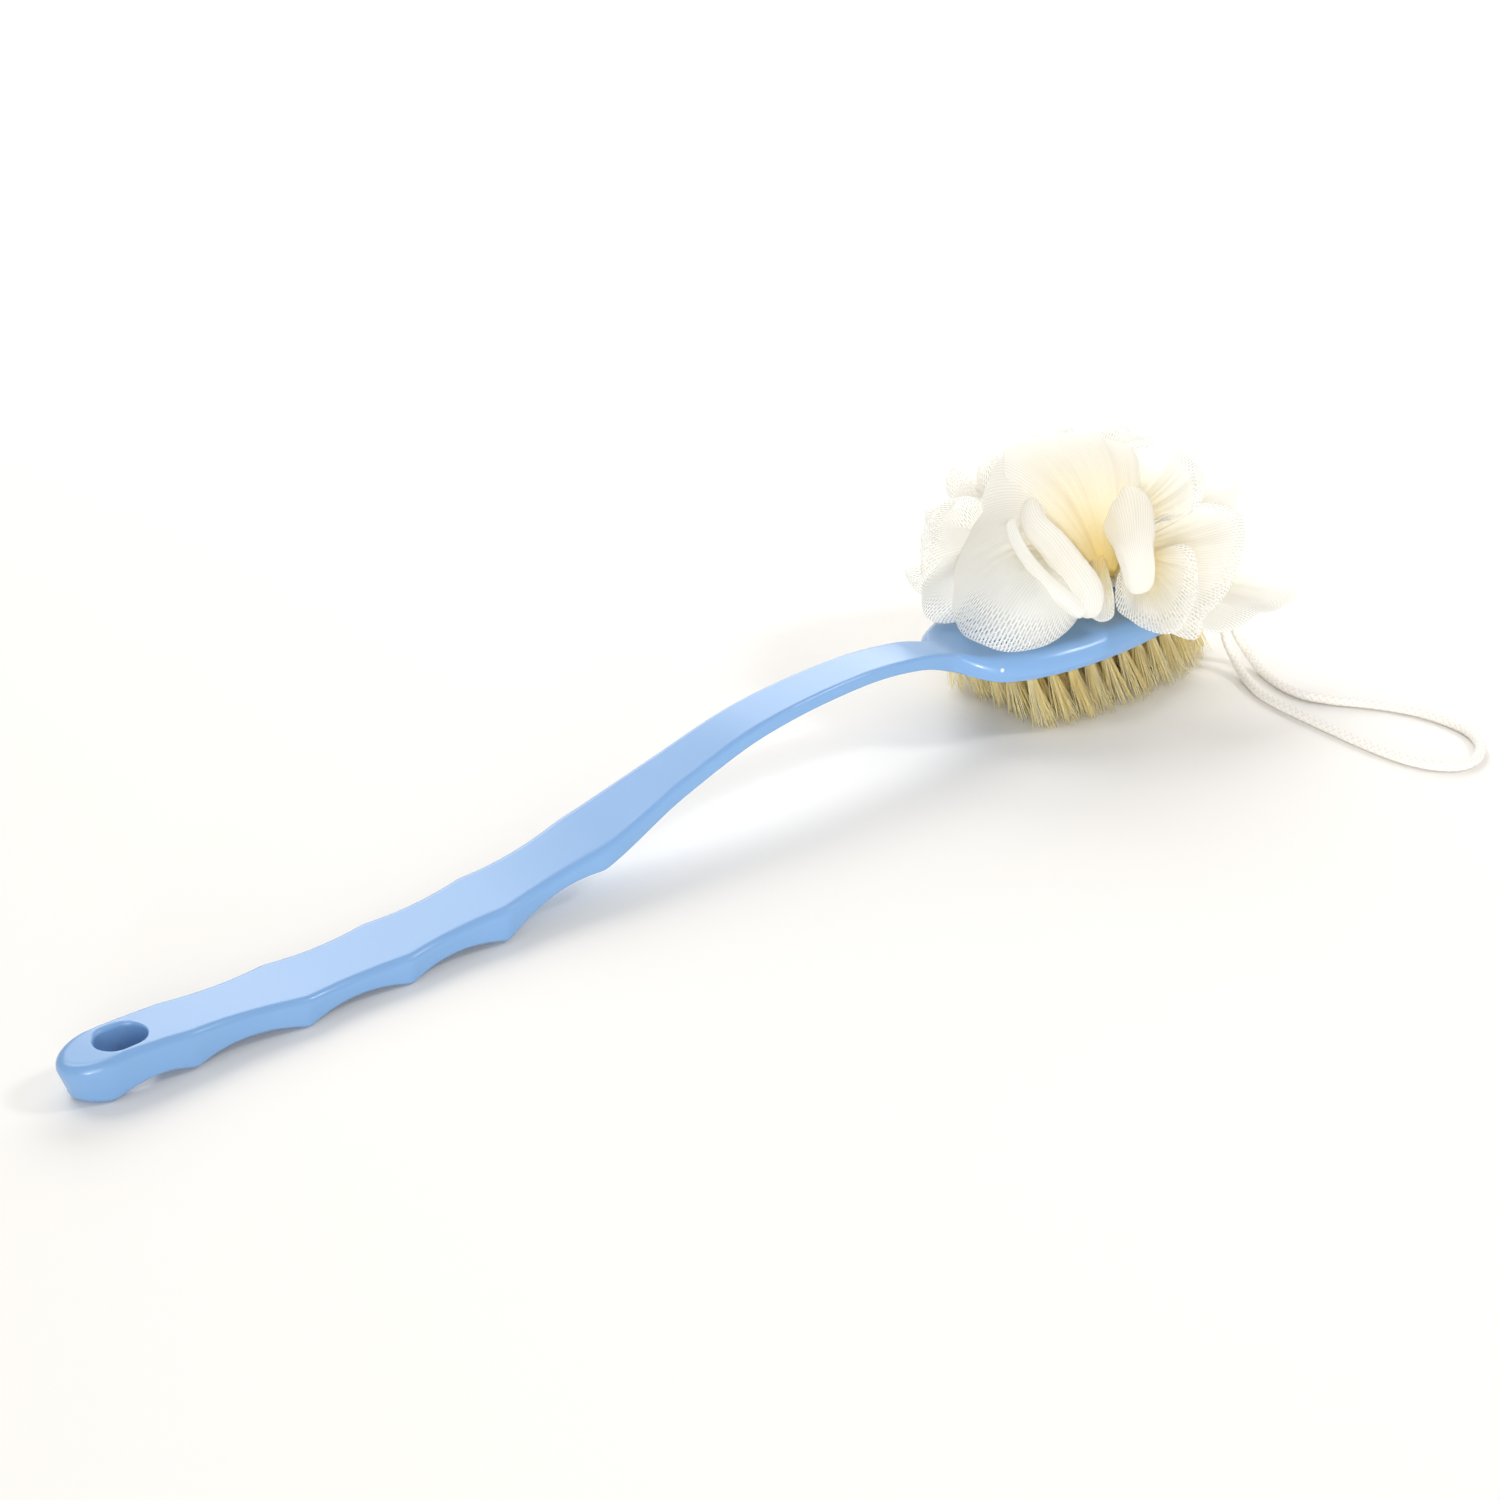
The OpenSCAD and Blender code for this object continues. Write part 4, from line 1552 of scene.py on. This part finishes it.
@dataclass
class Lobe:
    """One loop of flattened net tube, drawn in to the tie and puffed out to its rim.

    The rim is a curve through points given by bearing about the tie in degrees, height and
    reach in millimetres. The root is where its gathers meet. A pillar of stitches is 1.25 mm
    wide and a stitch 2.6 mm long, as on a soft bath net.
    """

    rim: Sequence[tuple[float, float, float]]
    root: tuple[float, float, float] = (230.0, 40.0, 8.0)
    puff: float = 8.0
    bow: float = 6.0
    ribs: int = 9
    rib_depth: float = 0.3
    ruffle: float = 1.9
    seed: int = 1
    open_rim: float = 1.0
    pillar: float = 1.25
    stitch: float = 2.6
    # How fast the painted depth shade fades out from the root
    depth_power: float = 2.6
    open_depth: float = 0.16
    open_from: float = 0.0
    open_to: float = 1.0
    root_share: float = 0.06
    along: int = 110
    around: int = 72

    def shell(self) -> Shell:
        """Both layers of the lobe as one closed grid of u along the rim and t round the fold.

        v = sin(t)^0.85 runs out to the rim and back; the mean sheet is root + (rim - root) v with a
        bow sin(pi v) along its normal, and the layers stand puff cos(t) sin(t)^0.6 off it. Gathers
        are waves across u whose depth follows their spacing and fades before the rim.

        Returns:
            A closed shell with pillars and stitches as UV, how open it is, and how deep, which carries the
            painted shade towards the root.
        """
        chance = np.random.default_rng(self.seed)
        rim = smooth_curve(placed(np.array(self.rim, float)), self.along)
        root = placed(np.array(self.root, float))
        u = np.linspace(0.0, 1.0, self.along)
        rounded = 0.5 + 0.5 * np.sqrt(np.clip(1 - np.abs(2 * u - 1) ** 7, 0.0, 1.0))
        rim = root + (rim - root) * rounded[:, None]
        t = np.linspace(0.0, np.pi, self.around)
        v = np.sin(t) ** 0.85
        base = root + (rim - rim.mean(axis=0)) * self.root_share
        side = np.sqrt(np.clip(1 - np.abs(2 * u - 1) ** 4, 0.0, 1.0))
        run = unit(np.gradient(rim, axis=0))
        normal = unit(np.cross(run, rim - base))
        facing = unit(normal.mean(axis=0))
        normal = unit(normal * 0.35 + facing * 0.65)
        bulge = (self.bow * np.sin(np.pi * v**1.2))[None] * (0.35 + 0.65 * side)[:, None]
        mean = base[:, None] + (rim - base)[:, None] * v[None, :, None]
        mean = mean + bulge[..., None] * normal[:, None]
        wide = np.linalg.norm(np.diff(rim, axis=0), axis=1).sum()
        spacing = wide * v / self.ribs
        phase = chance.random(4) * TAU
        warp = 0.35 * np.sin(TAU * u * 1.3 + phase[0]) + 0.25 * np.sin(TAU * u * 2.7 + phase[1])
        fade = (1 - 0.85 * smoothstep(0.72, 1.0, v))[None]
        drift = 0.6 * np.sin(np.pi * v + phase[2])[None]
        wave = np.zeros((self.along, self.around))
        for part, share in GATHER_WAVES:
            shift = chance.random() * TAU
            run_on = TAU * self.ribs * part * (u + 0.03 * warp)[:, None]
            wave = wave + share * np.sin(run_on + drift + shift)
        gather = self.rib_depth * np.minimum(spacing * 0.22, 1.0)[None] * wave * fade
        layer = np.cos(t) * np.sin(t) ** 0.6
        roll = np.sin(TAU * u * 1.9 + phase[1]) + 0.6 * np.sin(TAU * u * 3.7 + phase[0])
        roll = self.ruffle * roll[:, None] * (v**2.2)[None]
        off = self.puff * layer[None] * side[:, None] + gather * side[:, None] + roll * side[:, None]
        grid = mean + off[..., None] * normal[:, None]
        faces = grid_faces(self.along, self.around)
        length = np.linalg.norm(rim - base, axis=1).mean()
        cells_u = u * wide / self.pillar
        cells_v = (t / np.pi - 0.5) * 2 * length / self.stitch
        plane = np.stack(np.broadcast_arrays(cells_u[:, None], cells_v[None]), axis=-1)
        patch = 0.6 + 0.4 * np.sin(TAU * u * 1.7 + phase[2])
        patch = patch * smoothstep(self.open_from - 0.04, self.open_from + 0.04, u)
        patch = patch * (1 - smoothstep(self.open_to - 0.05, self.open_to + 0.05, u))
        near_rim = smoothstep(1 - self.open_depth, 1 - 0.2 * self.open_depth, v)[None]
        open_cell = near_rim * np.clip(patch[:, None] * self.open_rim, 0.0, 1.0)
        # Painted shade: the net colour turns to the deep cream towards the root; the same value makes the
        # net denser there
        deep = (1 - v)[None] ** self.depth_power + 0 * u[:, None]
        return Shell(
            grid.reshape(-1, 3),
            faces,
            corner_values(faces, plane.reshape(-1, 2)),
            {"open": open_cell.ravel(), "deep": deep.ravel()},
        )


@dataclass
class Fold:
    """A rolled fold of the net: a soft tube along a line, rounded off at both ends.

    The line and the radii are given at the same places, the line as bearing, height and reach.
    """

    line: Sequence[tuple[float, float, float]]
    radii: Sequence[float]
    seed: int = 1
    along: int = 90
    around: int = 40
    pillar: float = 0.7
    stitch: float = 2.6

    def shell(self) -> Shell:
        """Tube of radius r(s) sqrt(1 - |2s - 1|^12) (1 + a few low waves round it and along).

        Returns:
            A closed shell with no slits and no painted depth shade.
        """
        chance = np.random.default_rng(self.seed)
        path = smooth_curve(placed(np.array(self.line, float)), self.along)
        total = np.linalg.norm(np.diff(path, axis=0), axis=1).sum()
        places = np.linspace(0.0, 1.0, len(self.radii))
        phase = chance.random(4) * TAU

        def radius(a: Array, d: Array) -> Array:
            """Distance from the line to the skin.

            Args:
                a: angles round the line.
                d: distances along it.

            Returns:
                The radius at each of them.
            """
            s = np.clip(d / total, 0.0, 1.0)
            size = smooth_line(np.stack([places, np.array(self.radii, float)], axis=1), s)
            closing = np.sqrt(np.clip(1 - np.abs(2 * s - 1) ** 12, 0.0, 1.0))
            wave = 0.07 * np.sin(2 * a + 3 * s + phase[0]) + 0.04 * np.sin(3 * a - 5 * s + phase[1])
            wave = wave + 0.025 * np.sin(7 * a + 2 * s + phase[2])
            return size * closing * (1 + wave)

        girth = TAU * float(np.mean(self.radii))
        cells = (round(girth / self.pillar), 1 / self.stitch)
        shell = swept_tube(path, radius, self.around, uv_scale=cells)
        count = len(shell.points)
        shell.values = {"open": np.zeros(count), "deep": np.zeros(count)}
        return shell


@dataclass
class NetTier:
    """A length of net tube, gathered into lobes that are tied at their roots."""

    name: str
    node: str
    lobes: Sequence[Lobe | Fold]
    rests_on: Sequence[str]
    flat: tuple[float, float]
    floor: float = 28.2
    cord_room: float = 3.6
    cord_from: float = 30.0
    cord_to: float = 46.0
    softness: float = 0.8
    merge: float = 0.003

    def build(self, finish: bpy.types.Material) -> bpy.types.Object:
        """The tier, lifted clear of the head and, near the tie, of the cord.

        Args:
            finish: the netting finish.

        Returns:
            The finished piece.
        """
        shell = Shell.joined([lobe.shell() for lobe in self.lobes])
        p = shell.points
        reach = np.hypot(p[:, 0] - TIE_X, p[:, 1])
        low = self.floor + self.cord_room * (1 - smoothstep(self.cord_from, self.cord_to, reach))
        p[:, 2] = low + np.logaddexp(0.0, (p[:, 2] - low) / self.softness) * self.softness
        obj = make_object(self.name, shell, self.merge)
        dress(obj, finish, Body.POUF, Slot.NETTING, self.node)
        return obj


# The net tube laid flat, in metres: its width, and the length that each tier gathers up
NET_WIDTH = 0.095
NET_LENGTHS = {"lower": 0.167, "middle": 0.075, "upper": 0.079}


def net_folds() -> dict[str, list[Lobe | Fold]]:
    """The lobes and rolled folds of the three nets.

    Returns:
        The name of each net, from the head upwards, and its folds.
    """
    lower = [
        # Wide and tall lobe at the handle side, resting on the head
        Lobe(
            [(217, 36, 31), (218, 31, 34), (209, 29, 43), (199, 28, 51), (191, 28.5, 54.4), (180, 30, 54),
             (166, 36, 48), (158, 44, 43), (148, 53, 36), (136, 63, 31.6), (122, 70, 29), (100, 66, 25)],
            root=(200, 44, 8), puff=9, bow=11, ribs=15, seed=11,
            open_to=0.42, open_rim=2.0, open_depth=0.2,
        ),
        # Behind it, towards the far side
        Lobe(
            [(176, 29, 50), (163, 29, 55), (148, 36, 51), (134, 46, 50), (125, 54, 44), (112, 56, 38)],
            root=(160, 40, 8), puff=8, bow=5, ribs=9, seed=12,
        ),
        # Scoop over the near rim of the head, with open cells, and the lobe that it runs into
        Lobe(
            [(239, 47, 25), (240, 40, 25), (243, 34.5, 26), (246, 30.5, 29.5), (250, 28.8, 33.5),
             (256, 28.6, 38.5), (261, 33, 43.5), (267, 39, 42.5), (273, 44.4, 40), (281, 49.4, 37),
             (289, 53, 33)],
            root=(290, 43, 17), puff=4, bow=1, ribs=9, seed=19, open_rim=2.5, pillar=1.4, stitch=3.4,
            open_depth=0.3,
        ),
        Lobe(
            [(252, 29, 36), (264, 29, 46.5), (270, 35, 45.6), (283, 40, 46.2), (293, 44.6, 46.5),
             (301, 51.4, 46.4), (308, 57.7, 43.7), (311, 59.3, 36), (310, 57.4, 26), (304, 51.3, 16)],
            root=(275, 42, 9), puff=7, bow=4, ribs=11, seed=13, open_rim=0.8, pillar=1.4,
        ),
        # Small drape that closes the foot of the deep crease
        Lobe(
            [(221, 38, 29), (225, 33.5, 30.5), (231, 31.5, 31), (237, 33, 29.5), (241, 37, 26)],
            root=(236, 52, 10), puff=4, bow=2, ribs=5, rib_depth=0.4, ruffle=0.5, seed=20, open_rim=0.4,
            depth_power=1.2,
        ),
        # Thin lobe hanging past the tip of the head
        Lobe(
            [(265, 28.5, 46), (279, 29, 51), (296, 30.5, 55), (314, 29, 65), (319, 35.4, 66.8),
             (322, 45.2, 62), (323, 52.3, 52.3), (321, 54.4, 40)],
            root=(305, 40, 10), puff=5, bow=3, ribs=8, seed=14, open_rim=0.3,
        ),
        Lobe([(330, 30, 48), (345, 29, 55), (2, 33, 56), (18, 44, 50)], root=(350, 40, 8), seed=15),
        Lobe([(10, 30, 50), (28, 29, 56), (46, 32, 55), (62, 42, 50)], root=(38, 40, 8), seed=16),
        Lobe([(55, 31, 52), (75, 29, 54), (95, 31, 55), (112, 40, 52)], root=(82, 40, 8), seed=17),
        Lobe([(100, 30, 50), (122, 29, 54), (140, 33, 54), (152, 44, 48)], root=(125, 40, 8), seed=18),
    ]
    middle = [
        # The long tongue folded forward over the wide lobe: a thick ridge and a thin one
        Fold(
            [(150, 55, 14), (170, 61, 22), (188, 59, 28.9), (201, 55, 30.4), (212, 49.6, 32.9),
             (220, 44.4, 35), (222, 39.8, 36), (222, 35.5, 36)],
            radii=(2.0, 2.4, 3.4, 4.0, 4.4, 4.6, 4.5, 4.0), seed=21,
        ),
        Fold(
            [(166, 57, 24), (178, 58, 33), (190, 54, 37.5), (200, 49.5, 39.8), (208, 45.2, 40.6),
             (215, 41, 40), (220, 37.5, 38.5)],
            radii=(1.4, 1.7, 1.8, 1.9, 2.2, 2.8, 3.0), seed=22,
        ),
        # The fold that hangs to the right of the deep crease
        Fold(
            [(300, 52, 4), (274, 58, 12), (256, 56.5, 20.5), (248, 53.4, 28.2), (248, 48.9, 31.2),
             (248, 45.1, 32.6), (249, 41.2, 33)],
            radii=(5.0, 7.0, 7.8, 6.8, 5.4, 4.5, 3.8), seed=23,
        ),
        Lobe([(330, 40, 50), (345, 44, 54), (0, 52, 52), (12, 62, 44)], root=(350, 48, 8), seed=24),
        Lobe([(20, 42, 52), (38, 44, 55), (55, 50, 53), (70, 60, 46)], root=(45, 48, 8), seed=25),
        Lobe([(66, 40, 52), (84, 44, 55), (100, 52, 52), (116, 62, 44)], root=(90, 48, 8), seed=26),
        Lobe([(112, 44, 50), (126, 48, 50), (138, 54, 43), (148, 62, 34)], root=(130, 48, 8), seed=27),
    ]
    upper = [
        # The high lobe whose face runs down into the deep crease
        Lobe(
            [(150, 62, 30), (142, 70, 28), (130, 75, 25), (111, 75.9, 17.5), (69, 75.8, 9.6),
             (5, 74, 13.8), (346, 72, 21.7)],
            root=(244, 40, 16), puff=7, bow=9, ribs=10, rib_depth=0.25, seed=31, open_rim=0.0,
            depth_power=1.7,
        ),
        Lobe(
            [(322, 50, 44), (326, 55, 47), (331, 60, 48), (337, 65.5, 46), (343, 67.2, 42.8),
             (348, 67.1, 36.8), (353, 68.5, 31), (358, 72, 24)],
            root=(296, 50, 12), puff=7, bow=6, ribs=6, rib_depth=0.15, ruffle=1.2, seed=32,
            open_rim=0.2,
        ),
        Lobe([(350, 62, 42), (10, 67, 38), (30, 71, 28), (60, 73, 20)], root=(20, 52, 7), seed=33),
        Lobe([(25, 58, 48), (48, 63, 42), (72, 68, 34), (95, 71, 24)], root=(60, 52, 7), seed=34),
        Lobe([(80, 56, 48), (100, 60, 40), (120, 63, 30), (140, 66, 22)], root=(110, 52, 7), seed=35),
        Lobe([(300, 60, 36), (315, 68, 32), (335, 73, 24), (20, 74, 14)], root=(310, 50, 8), seed=36),
    ]
    return {"lower": lower, "middle": middle, "upper": upper}


def main() -> None:
    """Builds the studio, the cord and then the rest of the scrubber."""
    logging.basicConfig(level=logging.INFO, format="%(name)s %(message)s")
    Studio().build()
    polyester = BraidedPolyester().build()
    cord = HangingCord()
    cord.loop(polyester)
    cord.turn(polyester)
    cord.knot_piece(polyester)
    cord.winding_piece(polyester)
    moulding = Moulding()
    moulding.build(MouldedPolypropylene().build())
    bristle = CrimpedBristle().build()
    steel = DrawnSteel().build()
    for number in range(1, ROWS + 1):
        BristleRow(number, moulding).build(bristle)
        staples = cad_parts[f"staple_row_{number}"]
        staples.data.materials.clear()
        staples.data.materials.append(steel)
    net = KnittedNetting().build()
    for place, lobes in net_folds().items():
        flat = (NET_WIDTH, NET_LENGTHS[place])
        NetTier(f"pouf_net_{place}", f"net_{place}", lobes, ["handle_and_head"], flat).build(net)


if __name__ == "__main__":
    main()
